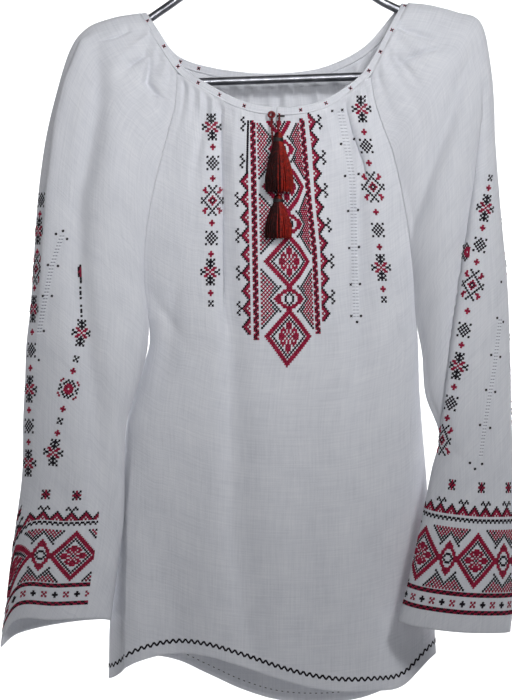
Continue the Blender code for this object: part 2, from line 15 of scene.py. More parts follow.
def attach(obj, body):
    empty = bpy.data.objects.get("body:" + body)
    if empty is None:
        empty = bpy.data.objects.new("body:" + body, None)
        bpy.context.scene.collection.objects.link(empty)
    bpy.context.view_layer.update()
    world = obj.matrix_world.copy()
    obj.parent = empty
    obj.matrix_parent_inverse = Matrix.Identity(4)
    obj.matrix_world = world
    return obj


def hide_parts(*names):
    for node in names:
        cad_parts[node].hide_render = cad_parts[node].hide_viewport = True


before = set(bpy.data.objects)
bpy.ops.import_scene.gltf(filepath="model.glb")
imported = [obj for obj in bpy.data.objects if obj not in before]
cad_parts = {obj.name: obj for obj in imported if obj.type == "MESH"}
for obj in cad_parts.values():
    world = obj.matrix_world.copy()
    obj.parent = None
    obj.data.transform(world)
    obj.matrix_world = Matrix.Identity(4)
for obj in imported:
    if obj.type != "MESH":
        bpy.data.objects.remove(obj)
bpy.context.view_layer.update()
MM = 0.001

# ---------------------------------------------------------------- Camera
# A long lens 3 m in front of the shirt, level with its middle.  It takes in 512 by 700 mm, and
# the embroidery is laid out on the cloth as it is seen from here.
VIEW_WIDTH = 0.512
VIEW_DISTANCE = 3.0         # both in metres
lens = bpy.data.cameras.new("camera")
lens.sensor_fit = "HORIZONTAL"
lens.sensor_width = 36.0
lens.lens = lens.sensor_width * VIEW_DISTANCE / VIEW_WIDTH
camera = bpy.data.objects.new("camera", lens)
camera.location = (-0.019, -3.030, -0.500)
camera.rotation_euler = (math.radians(90), 0.0, 0.0)
bpy.context.scene.collection.objects.link(camera)
bpy.context.scene.camera = camera

# ---------------------------------------------------------------- Tie cords
# Two ends of one cord that draws the neckline together.  It is twisted from two strands of
# crimson rayon, leaves the neckband at the centre front, and each end is knotted into a tassel.
CORD_RADIUS = 1.3
STRAND_RADIUS = 0.68
TWIST = 6.5                 # length of one turn of the two strands
TIE = {
    "short": ((4, -47.8, 265), (4, -51.5, 270), (3.2, -55.8, 276.5), (3, -56.5, 284)),
    "long": ((-2.5, -47.8, 265), (-3.5, -49.4, 276), (-2, -48.4, 296), (0.5, -48.4, 318),
             (2.5, -48.8, 334), (3, -51.5, 346)),
}


def smooth(values, places):
    """Read evenly spaced values at fractional places, along a Catmull-Rom curve."""
    values = np.asarray(values, dtype=float)
    places = np.asarray(places, dtype=float)
    last = len(values) - 1
    row = np.clip(places.astype(int), 0, last - 1)
    step = places - row
    if values.ndim > 1:
        step = step[..., None]
    before = values[np.maximum(row - 1, 0)]
    start = values[row]
    end = values[row + 1]
    after = values[np.minimum(row + 2, last)]
    slope_in = (end - before) / 2
    slope_out = (after - start) / 2
    bend = 2 * start - 2 * end + slope_in + slope_out
    rise = 3 * end - 3 * start - 2 * slope_in - slope_out
    return start + slope_in * step + rise * step ** 2 + bend * step ** 3


def unit(vectors):
    """Scale each vector to length 1."""
    return vectors / np.maximum(np.linalg.norm(vectors, axis=-1, keepdims=True), 1e-12)


def run_of(line):
    """Distance along a line of points, from its first point."""
    return np.concatenate(([0.0], np.cumsum(np.linalg.norm(np.diff(line, axis=0), axis=1))))


def track(points, step):
    """Evenly spaced points along a smooth curve through a route of (X, Y, drop)."""
    route = np.array([(x, depth, -drop) for x, depth, drop in points], dtype=float)
    fine = smooth(route, np.linspace(0, len(route) - 1, 240))
    run = run_of(fine)
    stops = np.linspace(0, run[-1], max(2, round(run[-1] / step)) + 1)
    return np.stack([np.interp(stops, run, fine[:, axis]) for axis in range(3)], axis=1)


def rods(name, lines, radius, sides=4, closed=False, taper=None):
    """Mesh of round rods along lines of points, swept by a bevelled curve."""
    line_data = bpy.data.curves.new(name, "CURVE")
    line_data.dimensions = "3D"
    line_data.bevel_depth = radius * MM
    line_data.bevel_resolution = max(0, sides // 2 - 2)
    line_data.use_fill_caps = True
    for line in lines:
        strand = line_data.splines.new("POLY")
        strand.points.add(len(line) - 1)
        flat = np.ones((len(line), 4))
        flat[:, :3] = np.asarray(line) * MM
        strand.points.foreach_set("co", flat.ravel())
        if taper is not None:
            strand.points.foreach_set("radius", np.interp(np.linspace(0, 1, len(line)),
                                                          np.linspace(0, 1, len(taper)), taper))
        strand.use_cyclic_u = closed
        strand.use_smooth = True
    holder = bpy.data.objects.new(name, line_data)
    bpy.context.scene.collection.objects.link(holder)
    bpy.context.view_layer.update()
    swept = bpy.data.meshes.new_from_object(holder.evaluated_get(
        bpy.context.evaluated_depsgraph_get()))
    bpy.data.objects.remove(holder, do_unlink=True)
    swept.name = name
    swept.shade_smooth()
    return swept


def piece(name, mesh, *materials):
    """Object with its materials, riding on the shirt's one body."""
    made = bpy.data.objects.new(name, mesh)
    bpy.context.scene.collection.objects.link(made)
    for material in materials:
        mesh.materials.append(material)
    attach(made, "root")
    return made


def linear(hex_colour):
    """Turn an sRGB hex colour into linear RGBA."""
    parts = [int(hex_colour[start:start + 2], 16) / 255 for start in (1, 3, 5)]
    return [part / 12.92 if part <= 0.04045 else ((part + 0.055) / 1.055) ** 2.4
            for part in parts] + [1.0]


def add_node(tree, kind, settings=None, inputs=None, stops=(), feeds=None):
    """Add a node: its settings, its inputs to set or link, a ramp's stops, what it feeds."""
    made = tree.nodes.new("ShaderNode" + kind)
    for key, value in (settings or {}).items():
        setattr(made, key, value)
    for key, value in (inputs or {}).items():
        if isinstance(value, bpy.types.NodeSocket):
            tree.links.new(value, made.inputs[key])
        else:
            made.inputs[key].default_value = value
    for index, (place, colour) in enumerate(stops):
        if index >= len(made.color_ramp.elements):
            made.color_ramp.elements.new(place)
        made.color_ramp.elements[index].position = place
        made.color_ramp.elements[index].color = linear(colour)
    if feeds is not None:
        tree.links.new(made.outputs[0], feeds)
    return made


def new_material(name, colour, roughness, metallic=0.0, grain=0.0, detail=2.0, stops=(),
                 relief=0.0):
    """Material with a Principled shader, its node tree and its shader.

    "grain" is how many grains a noise has to the millimetre.  It runs the colour through
    "stops" of (place, hex colour) and raises the surface by "relief" in millimetres.
    """
    made = bpy.data.materials.new(name)
    made.use_nodes = True
    made.diffuse_color = linear(colour)
    tree = made.node_tree
    shader = tree.nodes["Principled BSDF"]
    shader.inputs["Base Color"].default_value = linear(colour)
    shader.inputs["Roughness"].default_value = roughness
    shader.inputs["Metallic"].default_value = metallic
    if grain:
        place = add_node(tree, "TexCoord").outputs["Object"]
        noise = add_node(tree, "TexNoise", inputs={"Vector": place, "Scale": grain / MM,
                                                   "Detail": detail}).outputs["Fac"]
        if stops:
            add_node(tree, "ValToRGB", inputs={"Fac": noise}, stops=stops,
                     feeds=shader.inputs["Base Color"])
        if relief:
            add_node(tree, "Bump", inputs={"Height": noise, "Distance": relief * MM},
                     feeds=shader.inputs["Normal"])
    return made, tree, shader


# Twisted rayon: a smooth, lustrous thread, so it takes long soft glints along each strand.
rayon, tree, shader = new_material(
    "twisted_crimson_rayon", "#6e0d12", 0.42, grain=0.9, detail=3.0, relief=0.15,
    stops=((0.3, "#4a070b"), (0.55, "#74101a"), (0.75, "#8f1a1c")))
shader.inputs["Specular IOR Level"].default_value = 0.3
shader.inputs["Sheen Weight"].default_value = 0.08
shader.inputs["Sheen Tint"].default_value = linear("#c23a30")

for name, route in TIE.items():
    core = track(route, 0.7)
    along = unit(np.gradient(core, axis=0))
    side = unit(np.cross(along, (0.0, 1.0, 0.0)))
    front_of = np.cross(side, along)
    turn = (run_of(core) / TWIST * 2 * math.pi)[:, None]
    strands = []
    for start in (0, math.pi):
        strands.append(core + (CORD_RADIUS - STRAND_RADIUS)
                       * (side * np.cos(turn + start) + front_of * np.sin(turn + start)))
    piece("tie_cord_" + name, rods("tie_cord_" + name, strands, STRAND_RADIUS, 6),
                        rayon)
    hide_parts("cord_" + name)

# ---------------------------------------------------------------- Tassels
# Each tassel is a hank of thread doubled over the cord's knot and bound below it with black
# thread.  Its threads are near-black on the left half and crimson on the right, so it is darker
# on its left.  The loose threads are cut level and spread into a flat bell.
TASSELS = {
    "short": {"head": (3, -56.5, -284.3), "length": 59.0, "width": 29.0, "lean": 1.2},
    "long": {"head": (3, -51.5, -346.3), "length": 43.0, "width": 28.0, "lean": 0.2},
}
TASSEL_THREADS = 122
THREAD_TURN = 2.39996       # golden angle from one thread to the next, so that none line up
THREAD_RADIUS = 0.75
TASSEL_FLATNESS = 0.465     # its depth as a share of its width
UNEVEN_CUT = 2.2            # how much shorter the shortest thread is
# Share of the length down from the knot, and the share of the full width there.
TASSEL_PROFILE = ((0, 0.10), (0.03, 0.24), (0.08, 0.29), (0.13, 0.24), (0.20, 0.34),
                  (0.36, 0.56), (0.55, 0.80), (0.75, 0.98), (0.88, 1.02), (1.0, 0.97))
THREAD_TAPER = (0.8, 1.0, 1.1, 0.9)
BINDING_TURNS = 6.5
BINDING_SPAN = (0.09, 0.15)         # shares of the tassel's length that it covers
BINDING_REACH = (4.6, 2.9)          # half its width and half its depth
BINDING_RADIUS = 0.55

# Cotton thread: dull and soft, each strand clouded darker and lighter along its length.
lock_dark, tree, shader = new_material(
    "tassel_thread_black_crimson", "#1a0406", 0.55, grain=0.42, detail=3.0,
    stops=((0.35, "#120304"), (0.6, "#300708"), (0.8, "#5a0e0a")))
shader.inputs["Specular IOR Level"].default_value = 0.15
lock_red, tree, shader = new_material(
    "tassel_thread_crimson", "#86150b", 0.5, grain=0.42, detail=3.0,
    stops=((0.3, "#4d0906"), (0.52, "#84140a"), (0.75, "#a82410")))
shader.inputs["Specular IOR Level"].default_value = 0.2
binding, tree, shader = new_material("binding_thread_black", "#0d0708", 0.5, grain=1.2,
                                     relief=0.2)


def joined(name, meshes, *materials):
    """One piece from several meshes; mesh number n takes material number n."""
    shape = bmesh.new()
    for index, mesh in enumerate(meshes):
        first = len(shape.faces)
        shape.from_mesh(mesh)
        shape.faces.ensure_lookup_table()
        for face in shape.faces[first:]:
            face.material_index = index
        bpy.data.meshes.remove(mesh)
    whole = bpy.data.meshes.new(name)
    shape.to_mesh(whole)
    shape.free()
    return piece(name, whole, *materials)


for name, tassel in TASSELS.items():
    head = np.array(tassel["head"])
    dark_threads = []
    red_threads = []
    for index in range(TASSEL_THREADS):
        share = ((index + 0.5) / TASSEL_THREADS) ** 0.3
        angle = index * THREAD_TURN
        uneven = 0.5 + 0.5 * math.sin(index * 12.9898)
        line = []
        for down, width in TASSEL_PROFILE:
            reach = (tassel["width"] / 2 - THREAD_RADIUS) * width * share
            wander = 0.5 * down * math.sin(index * 3.7 + down * 5.0)
            line.append((head[0] + math.cos(angle) * reach + wander + tassel["lean"] * down,
                         head[1] + math.sin(angle) * reach * TASSEL_FLATNESS + wander * 0.4,
                         head[2] - (tassel["length"] - UNEVEN_CUT * uneven) * down))
        # Threads on the left half take the near-black material and those on the right the crimson
        # one.
        left_half = math.cos(angle) * share + 0.22 * math.sin(index * 7.3) < 0.06
        (dark_threads if left_half else red_threads).append(line)
    turns = np.linspace(0, BINDING_TURNS * 2 * math.pi, 120)
    down = np.linspace(*BINDING_SPAN, 120) * tassel["length"]
    bound = head + np.stack([BINDING_REACH[0] * np.cos(turns), BINDING_REACH[1] * np.sin(turns),
                             -down], axis=1)
    joined(
        "tie_tassel_" + name,
        [rods("dark", dark_threads, THREAD_RADIUS, 4, taper=THREAD_TAPER),
         rods("red", red_threads, THREAD_RADIUS, 4, taper=THREAD_TAPER),
         rods("bound", [bound], BINDING_RADIUS, 6)],
        lock_dark, lock_red, binding)
    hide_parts("tassel_" + name)

# ---------------------------------------------------------------- Tie loop
# The cord passes through a small buttonholed ring at the end of the neckband, and a bar of
# black thread closes the foot of the slit beside it.
RING_MIDDLE = (-3.6, -48.6, -266.0)
RING_REACH = (2.9, 0.5, 2.6)        # half its width, depth and height
RING_THREAD = 1.15
BAR_THREAD = 1.0
around = np.linspace(0, 2 * math.pi, 21)[:-1]
ring_line = np.array(RING_MIDDLE) + np.stack(
    [RING_REACH[0] * np.cos(around), RING_REACH[1] * np.sin(around),
     RING_REACH[2] * np.sin(around)], axis=1)
tie_ring = piece("tie_ring", rods("tie_ring", [ring_line], RING_THREAD, 6, closed=True), rayon)
bar_line = [(1.6 + 1.3 * step, -49.3 - 0.25 * math.sin(step * 0.6), -267.6) for step in range(7)]
slit_bar = piece("slit_bar", rods("slit_bar", [bar_line], BAR_THREAD, 6), binding)
track(TIE["long"], 1.5) * MM

# ---------------------------------------------------------------- Front, back and sleeves
# Four pieces of bleached linen, plain woven, cut full and gathered into the neckband: the
# sleeves are raglan, sewn to the body from neck to underarm, and the side seams run to the hem.
CLOTH = 0.6                 # thickness of the linen
TUCK = 3.6                  # how far its gathered edge goes up inside the neckband
UNDERARM = 7                # row of the tables below at which sleeves and body part
CUFF_ROW = 14               # row of a sleeve's edge
# Each sleeve from neck to cuff, row by row: its front seam, outer fold and back seam, Y of its
# middle, how far it swells to front and back, and the degrees at which its seams lie round it.
SLEEVE_NAMES = ("front_x", "front_drop", "outer_x", "outer_drop", "back_x", "back_drop",
                "middle", "swell_front", "swell_back", "front_angle", "back_angle")
SLEEVES = {
    "left_sleeve": (
        (-98, 226, -139, 161, -106, 210, -2, 27, 21, 80, 80),
        (-100, 255, -165, 166, -113, 246, -3, 30, 23, 72, 74),
        (-107, 283, -190, 176, -118, 282, -4, 33, 26, 62, 66),
        (-116, 318, -207, 201, -124, 315, -6, 34, 28, 52, 56),
        (-124, 353, -225, 264, -128, 355, -9, 34, 29, 42, 46),
        (-130, 390, -236, 326, -130, 395, -11, 33, 29, 30, 34),
        (-131, 430, -241, 390, -130, 433, -14, 31, 28, 16, 18),
        (-127, 468, -245, 458, -127, 468, -18, 30, 26, 0, 0),
        (-128, 498, -249, 498, -128, 498, -22, 29, 24, 0, 0),
        (-136, 532, -250, 535, -136, 532, -22, 27, 22, 0, 0),
        (-149, 572, -252, 575, -149, 572, -20, 26, 21, 0, 0),
        (-151, 620, -253, 622, -151, 620, -18, 25, 20, 0, 0),
        (-152, 670, -260, 672, -152, 670, -17, 25, 20, 0, 0),
        (-159, 722, -268, 726, -159, 722, -16, 25, 20, 0, 0),
        (-165, 770, -275, 784, -165, 770, -16, 26, 20, 0, 0)),
    "right_sleeve": (
        (96, 230, 138, 151, 98, 200, -2, 27, 21, 80, 80),
        (100, 253, 160, 153, 106, 240, -3, 30, 23, 72, 74),
        (108, 278, 184, 159, 112, 279, -4, 33, 26, 62, 66),
        (117, 302, 208, 171, 120, 315, -6, 34, 28, 52, 56),
        (125, 335, 218, 222, 127, 353, -9, 34, 29, 42, 46),
        (132, 372, 222, 296, 134, 393, -11, 33, 29, 30, 34),
        (138, 415, 228, 373, 140, 433, -13, 31, 28, 16, 18),
        (142, 468, 234, 450, 142, 468, -16, 29, 26, 0, 0),
        (148, 505, 235, 505, 148, 505, -20, 27, 24, 0, 0),
        (151, 545, 236, 548, 151, 545, -26, 25, 22, 0, 0),
        (164, 584, 237, 590, 164, 584, -34, 22, 19, 0, 0),
        (156, 620, 238, 630, 156, 620, -42, 22, 18, 0, 0),
        (145, 672, 239, 680, 145, 672, -48, 23, 18, 0, 0),
        (133, 725, 238, 732, 133, 725, -52, 25, 18, 0, 0),
        (122, 768, 233, 779, 122, 768, -54, 26, 18, 0, 0)),
}
# How much lower than its straight row each cuff hangs, round the sleeve from its seam, and the
# row from which it does.
CUFF_HANG = {"left_sleeve": (2, -4, -8, -12, 14, 4, 0, 0, 2),
             "right_sleeve": (0, 3, 4, 2, 0, 2, 2, 2, 0)}
CUFF_HANG_FROM = 10
# Side seams from underarm to hem: X, Y and drop of the left one and of the right one, then how
# far front and back swell, and the degrees at which the seams lie round the body.
SIDE_SEAMS = (
    (-127, -18, 468, 142, -16, 468, 25, 36, 14),
    (-126, -13, 495, 144, -13, 500, 29, 35, 8),
    (-137, -6, 530, 145, -9, 535, 34, 33, 3),
    (-149, -1, 572, 148, -5, 575, 39, 33, 0),
    (-152, 2, 615, 152, -1, 620, 41, 33, 0),
    (-157, 7, 665, 155, 3, 668, 45, 32, 0),
    (-162, 11, 720, 158, 6, 722, 48, 31, 0),
    (-166, 13, 775, 161, 8, 770, 50, 31, 0),
    (-168, 14, 832, 163, 8, 806, 51, 31, 0),
)
# The last three of these for the rows above the underarm.
YOKE = ((15, 4, 60), (13, 6, 57), (12, 9, 54), (12, 14, 50), (14, 19, 44), (17, 25, 36),
        (21, 31, 25), (25, 36, 14))
CORNER = 0.72               # below 1, the body turns its sides more sharply than an ellipse
# Drops of the edges, evenly spaced from left to right.
NECK_DROP = {"front": (226, 238, 249, 259, 265, 267, 267, 264, 257, 244, 230),
             "back": (210, 217, 222, 225, 227, 228, 227, 225, 220, 211, 200)}
HEM_DROP = {"front": (832, 812, 804, 806, 815, 826, 835, 840, 840, 836, 806),
            "back": (832, 814, 816, 830, 846, 856, 860, 859, 852, 836, 806)}
# Rows and columns of each shell's grid, and the sign at which across-times-down faces out.
SHELLS = {"front": (176, 236, -1), "back": (120, 120, 1),
          "left_sleeve": (176, 160, 1), "right_sleeve": (176, 160, -1)}

FOLD_END = 10.0             # how far above its first point and below its last a fold fades
LAP_REACH = 9.0             # how far from a lapped fold the cloth is drawn over


def fold(x, drop, trough, width, lean=1.0, edge=2, lap=0.0):
    """A fold through its points, from the upper one down.

    "trough" is its depth into the cloth, and negative ones stand out.  "lean" below 1 makes its
    left side steeper, "edge" below 2 makes it sharper along its middle, and "lap" is how far
    its right side laps over to the left.
    """
    way = 1 if drop[0] <= drop[-1] else -1
    return {"x": x[::way], "drop": drop[::way], "trough": trough[::way], "width": width[::way],
            "lean": lean, "edge": edge, "lap": lap}


# Long folds: X and drop of each point, trough there, and width there.
FOLDS = {
    "front": (
        fold((-53, -50, -48, -46, -42, -28, 0), (262, 330, 450, 560, 680, 770, 870),
             (4, 7, 8, 8, 7, 5, 2), (8, 11, 14, 20, 26, 30, 34), lean=0.4),
        fold((84, 83, 83, 86), (290, 380, 500, 620), (2, 8, 7, 0), (8, 11, 15, 20), lean=0.6),
        fold((-142, -145, -146, -148), (590, 660, 740, 870), (0, -5, -7, -8), (12, 14, 14, 14),
             lean=0.3, edge=1.4),
        fold((-112, -104, -96), (640, 740, 870), (0, 4, 8), (18, 22, 28)),
        fold((60, 66, 70), (560, 700, 870), (0, -4, -8), (30, 40, 50)),
        fold((128, 130, 132), (640, 740, 870), (0, 4, 7), (14, 18, 22)),
    ),
    "back": (
        fold((-60, -55, -66, -72), (240, 400, 620, 880), (2, 7, 8, 9), (10, 18, 24, 30)),
        fold((18, 10, 4, 8), (240, 420, 640, 880), (2, 6, 8, 7), (9, 16, 26, 32)),
        fold((78, 86, 84, 92), (240, 380, 600, 880), (2, 6, 7, 8), (10, 16, 22, 26)),
    ),
    "left_sleeve": (
        fold((-178, -176, -184, -197, -196, -186, -177, -172, -171),
             (190, 245, 290, 350, 430, 500, 560, 620, 700), (1, 6, 9, 9, 8, 8, 8, 6, 1),
             (9, 11, 12, 13, 14, 14, 13, 12, 12)),
        fold((-176, -192, -206, -216, -226, -231, -238), (178, 190, 230, 270, 350, 420, 510),
             (0, -4, -6, -6, -5, -4, 0), (10, 10, 10, 10, 10, 9, 9), lean=0.3),
    ),
    "right_sleeve": (
        fold((198, 187, 169, 150, 134), (200, 235, 285, 335, 385), (3, 9, 10, 8, 2),
             (8, 9, 10, 9, 8), lean=1.6, edge=1.5),
        fold((209, 209, 207.5, 205, 201, 197, 188, 179, 169.5, 164),
             (232, 280, 305, 330, 355, 380, 425, 480, 540, 572),
             (1, 5, 8, 9, 10, 10, 10, 10, 8, 3),
             (2.4, 2.4, 2.4, 2.4, 2.4, 2.4, 2.4, 2.4, 2.4, 2.4), lean=7.0, edge=1.5, lap=5.0),
    ),
}
# Smaller creases over the long folds, read in the same way.
CREASES = {
    "front": (
        fold((-53.5, -53, -51.5, -51, -51), (266, 304, 355, 450, 490), (3.0, 7.0, 7.5, 5.0, 0),
             (2.4, 2.4, 2.4, 2.6, 3), lean=3.0, edge=1.5, lap=3.0),
        fold((-43, -42, -40, -37), (268, 320, 390, 470), (-1.0, -1.6, -1.2, 0), (4, 5, 7, 10)),
        fold((-76, -78, -83), (262, 330, 420), (1.2, 1.4, 0), (4, 6, 9)),
        fold((73, 82, 91, 93), (260, 289, 314, 345), (2.4, 5.4, 4.4, 0), (2.5, 2.5, 3, 4),
             lean=3.2, edge=1.1, lap=3.0),
        fold((95, 97, 101), (265, 360, 470), (-1.2, -1.6, 0), (7, 9, 14)),
        fold((-96, -101, -108, -113), (420, 450, 500, 560), (0, 2.2, 2.4, 0), (7, 8, 10, 12)),
        fold((-70, -92, -113, -121), (528, 492, 462, 446), (0, 1.2, 2.0, 1.0), (12, 9, 7, 6)),
        fold((90, 112, 128), (540, 500, 470), (0, 1.6, 1.6), (14, 10, 8)),
        fold((-20, -6, 12), (600, 700, 870), (0, -1.8, -3.0), (18, 24, 30)),
        fold((104, 100, 98), (640, 740, 870), (0, -1.6, -3.0), (12, 14, 18)),
        fold((-142, -138, -134), (640, 740, 870), (0, -1.6, -2.6), (10, 12, 15)),
        fold((30, 36, 38), (520, 600, 700), (0, 1.4, 0), (16, 18, 20)),
    ),
    "back": (
        fold((-30, -26, -28), (300, 480, 700), (0, -2.2, 0), (16, 20, 24)),
        fold((46, 48, 46), (280, 460, 680), (0, -2.4, 0), (14, 20, 24)),
        fold((-104, -112, -116), (430, 520, 660), (1, 2.6, 0), (8, 12, 16)),
        fold((112, 122, 124), (440, 520, 640), (1, 2.4, 0), (8, 12, 16)),
        fold((-126, -128, -130), (600, 740, 880), (0, -2.5, -4), (16, 20, 22)),
        fold((130, 134, 138), (620, 740, 880), (0, -2.2, -3.5), (14, 18, 20)),
    ),
    "left_sleeve": (
        fold((-130, -142, -156), (205, 212, 228), (4.6, 5.6, 0), (3.2, 4, 6), edge=1.4),
        fold((-125, -128, -118, -104), (208, 232, 246, 248), (3.4, 5.6, 4.2, 0), (3.4, 4, 5, 5)),
        fold((-148, -160, -178), (180, 186, 192), (2.6, 4.0, 0), (4, 4, 5), edge=1.4),
        fold((-206, -214, -222), (250, 320, 410), (0, 1.6, 0), (9, 11, 12)),
        fold((-150, -158, -162, -168), (560, 590, 640, 690), (1.0, 2.2, 1.6, 0), (5, 7, 8, 9)),
        fold((-158, -168, -180), (600, 618, 648), (1.6, 1.8, 0), (5, 6, 8)),
        fold((-160, -172, -186), (642, 664, 702), (1.4, 1.6, 0), (5, 6, 8)),
        fold((-140, -152, -166), (470, 500, 548), (0, 1.8, 0), (6, 8, 10)),
        fold((-215, -213, -208), (600, 660, 740), (0, 1.0, 0), (10, 12, 12)),
        fold((-162, -163, -165), (250, 330, 420), (0, -1.8, 0), (10, 12, 14)),
    ),
    "right_sleeve": (
        fold((126, 146, 168), (177, 184, 192), (3.4, 5.0, 0), (7, 8, 9), edge=1.4),
        fold((172, 154, 136, 120), (194, 200, 206, 214), (0, 4.4, 4.8, 2.4), (9, 8, 7, 6),
             edge=1.4),
        fold((122, 134, 150), (206, 222, 246), (3.0, 3.8, 0), (4, 5, 6), edge=1.4),
        fold((156, 150, 146), (420, 470, 530), (0, 1.6, 0), (7, 9, 10)),
        fold((216, 214, 208), (280, 380, 470), (0, -1.6, 0), (8, 9, 10)),
        fold((212, 206, 196, 190), (604, 650, 700, 742), (0, 1.2, 1.2, 0), (7, 9, 11, 12)),
        fold((176, 190, 206), (600, 612, 632), (1.4, 1.4, 0), (6, 7, 9)),
    ),
}
# Gathers below the neckband: place along the gathered edge, depth, half width and reach down.
GATHERS = {
    "front": (
        (0.04, 2.4, 3.6, 44), (0.10, 2.0, 3.2, 30), (0.165, 2.7, 3.8, 62), (0.23, 2.2, 3.2, 36),
        (0.30, 1.6, 3.2, 30), (0.40, 1.2, 3.6, 22), (0.60, 1.2, 3.6, 22), (0.70, 1.5, 3.4, 28),
        (0.78, 2.2, 3.4, 40), (0.85, 2.6, 3.6, 58), (0.91, 2.1, 3.2, 34),
        (0.965, 2.2, 3.2, 40)),
    "back": (
        (0.07, 3.6, 4.0, 50), (0.17, 4.0, 4.4, 64), (0.25, 2.6, 3.6, 40), (0.33, 3.4, 4.0, 56),
        (0.40, 4.2, 4.4, 74), (0.49, 3.2, 4.0, 48), (0.56, 4.2, 4.4, 66), (0.63, 3.0, 3.8, 44),
        (0.71, 3.8, 4.2, 58), (0.81, 4.0, 4.4, 62), (0.92, 3.4, 4.0, 46)),
    "sleeve": (
        (0.07, 2.0, 4.0, 40), (0.18, 2.6, 4.6, 66), (0.29, 2.0, 4.2, 44), (0.38, 1.6, 4.2, 40),
        (0.64, 1.6, 4.2, 36), (0.74, 2.4, 4.6, 56), (0.84, 2.0, 4.2, 44),
        (0.94, 2.0, 4.0, 40)),
}


def columns_of(table):
    """A table's columns, one row of numbers for each."""
    return np.array(table, dtype=float).T


def sleeve_points(name, places, shares):
    """Points of a sleeve: rows from neck to cuff, columns from its front seam to its back one."""
    read = {key: smooth(column, places)[:, None]
            for key, column in zip(SLEEVE_NAMES, columns_of(SLEEVES[name]))}
    on_front = (shares <= 0.5)[None, :]
    first = np.radians(np.maximum(np.where(on_front, read["front_angle"],
                                           read["back_angle"]), 0.0))
    angle = first + (math.pi - first) * 2 * np.where(on_front, shares, 1 - shares)
    swell = np.where(on_front, -read["swell_front"], read["swell_back"])
    outward = (np.cos(first) - np.cos(angle)) / (1 + np.cos(first))
    seam_x = np.where(on_front, read["front_x"], read["back_x"])
    seam_drop = np.where(on_front, read["front_drop"], read["back_drop"])
    fading = np.clip((places - CUFF_HANG_FROM) / (CUFF_ROW - CUFF_HANG_FROM), 0, None)[:, None]
    hang = smooth(CUFF_HANG[name], shares * (len(CUFF_HANG[name]) - 1))[None, :]
    x = seam_x + (read["outer_x"] - seam_x) * outward
    drop = seam_drop + (read["outer_drop"] - seam_drop) * outward + hang * fading ** 2
    return np.stack([x, read["middle"] + swell * np.sin(angle), -drop], axis=-1)


def body_points(name, places, shares):
    """Points of the front or back: rows from neck to hem, columns from left to right."""
    facing, edge, yoke, side = (-1, 0.0, (0, 2), (6, 8)) if name == "front" else (
        1, 1.0, (1, 2), (7, 8))
    high = np.minimum(places, UNDERARM)
    low = np.maximum(places - UNDERARM, 0.0)
    side_seams = columns_of(SIDE_SEAMS)
    seams = []
    for sleeve, first in (("left_sleeve", 0), ("right_sleeve", 3)):
        raglan = sleeve_points(sleeve, high, np.array([edge]))[:, 0]
        seam = np.stack([smooth(column, low) for column in side_seams[first:first + 3]], axis=-1)
        seam[:, 2] *= -1
        seams.append(np.where((places <= UNDERARM)[:, None], raglan, seam)[:, None])
    swell, turn = (np.where(places <= UNDERARM, smooth(columns_of(YOKE)[upper], high),
                            smooth(side_seams[lower], low))[:, None]
                   for upper, lower in zip(yoke, side))
    start = np.radians(np.maximum(turn, 0.0))
    angle = start + (math.pi - 2 * start) * shares
    share = (0.5 - np.cos(angle) / (2 * np.cos(start)))[..., None]
    lift = np.sin(start) ** CORNER
    bulge = (np.maximum(np.sin(angle), 0.0) ** CORNER - lift) / (1 - lift)
    points = seams[0] + (seams[1] - seams[0]) * share
    points[..., 1] += facing * swell * bulge
    for row, drops, fade in ((0, NECK_DROP[name], 1 - high / UNDERARM),
                             (-1, HEM_DROP[name], (low / (len(SIDE_SEAMS) - 1)) ** 2)):
        place_across = (points[row, :, 0] - points[row, 0, 0]) / (points[row, -1, 0]
                                                                  - points[row, 0, 0])
        offset = -smooth(drops, place_across * (len(drops) - 1)) - points[row, :, 2]
        points[..., 2] += fade[:, None] * offset[None, :]
    return points


def outward_normals(points, sign):
    """Normals of a grid of points, turned outwards by the sign."""
    return unit(np.cross(np.gradient(points, axis=1), np.gradient(points, axis=0))) * sign


def seam_distance(points):
    """How far each point lies from the nearer of its row's two seams."""
    run = np.stack([run_of(row) for row in points])
    return np.minimum(run, run[:, -1:] - run)


def crease(points, normals, folds, strength):
    """Press folds into the cloth along its normals, with this strength at each point."""
    shaped = points.copy()
    drop = -points[..., 2]
    for each in folds:
        within = (np.clip((drop - each["drop"][0] + FOLD_END) / FOLD_END, 0, 1)
                  * np.clip((each["drop"][-1] + FOLD_END - drop) / FOLD_END, 0, 1))
        centre, trough, width = (np.interp(drop, each["drop"], each[key])
                                 for key in ("x", "trough", "width"))
        beside = points[..., 0] - centre
        away = np.where(beside < 0, -beside / each["lean"], beside) / width
        depth = trough * within * np.exp(-away ** each["edge"]) * strength
        shaped -= normals * depth[..., None]
        if each["lap"]:
            over = np.where(beside > 0, np.exp(-np.abs(beside) / LAP_REACH), 0.0)
            shaped[..., 0] -= (each["lap"] * over * within * strength * trough
                               / max(each["trough"]))
    return shaped


def gather(points, normals, gathers, strength):
    """Press the gathers below the neckband into the cloth, with small ridges between them."""
    shaped = points.copy()
    along = run_of(points[0])
    below = np.linalg.norm(points - points[0], axis=2)
    ridges = [((first[0] + second[0]) / 2, -0.9 - 0.3 * (index % 3), 1.7,
               12 + 9 * (index * 5 % 4))
              for index, (first, second) in enumerate(zip(gathers, gathers[1:]))]
    for centre, depth, half_width, reach in list(gathers) + ridges:
        away = (along - centre * along[-1]) / half_width
        fade = np.exp(-(below / reach) ** 1.5) * np.clip(0.12 + below / 7, 0, 1)
        shaped -= normals * (depth * fade * np.exp(-away ** 2) * strength)[..., None]
    return shaped


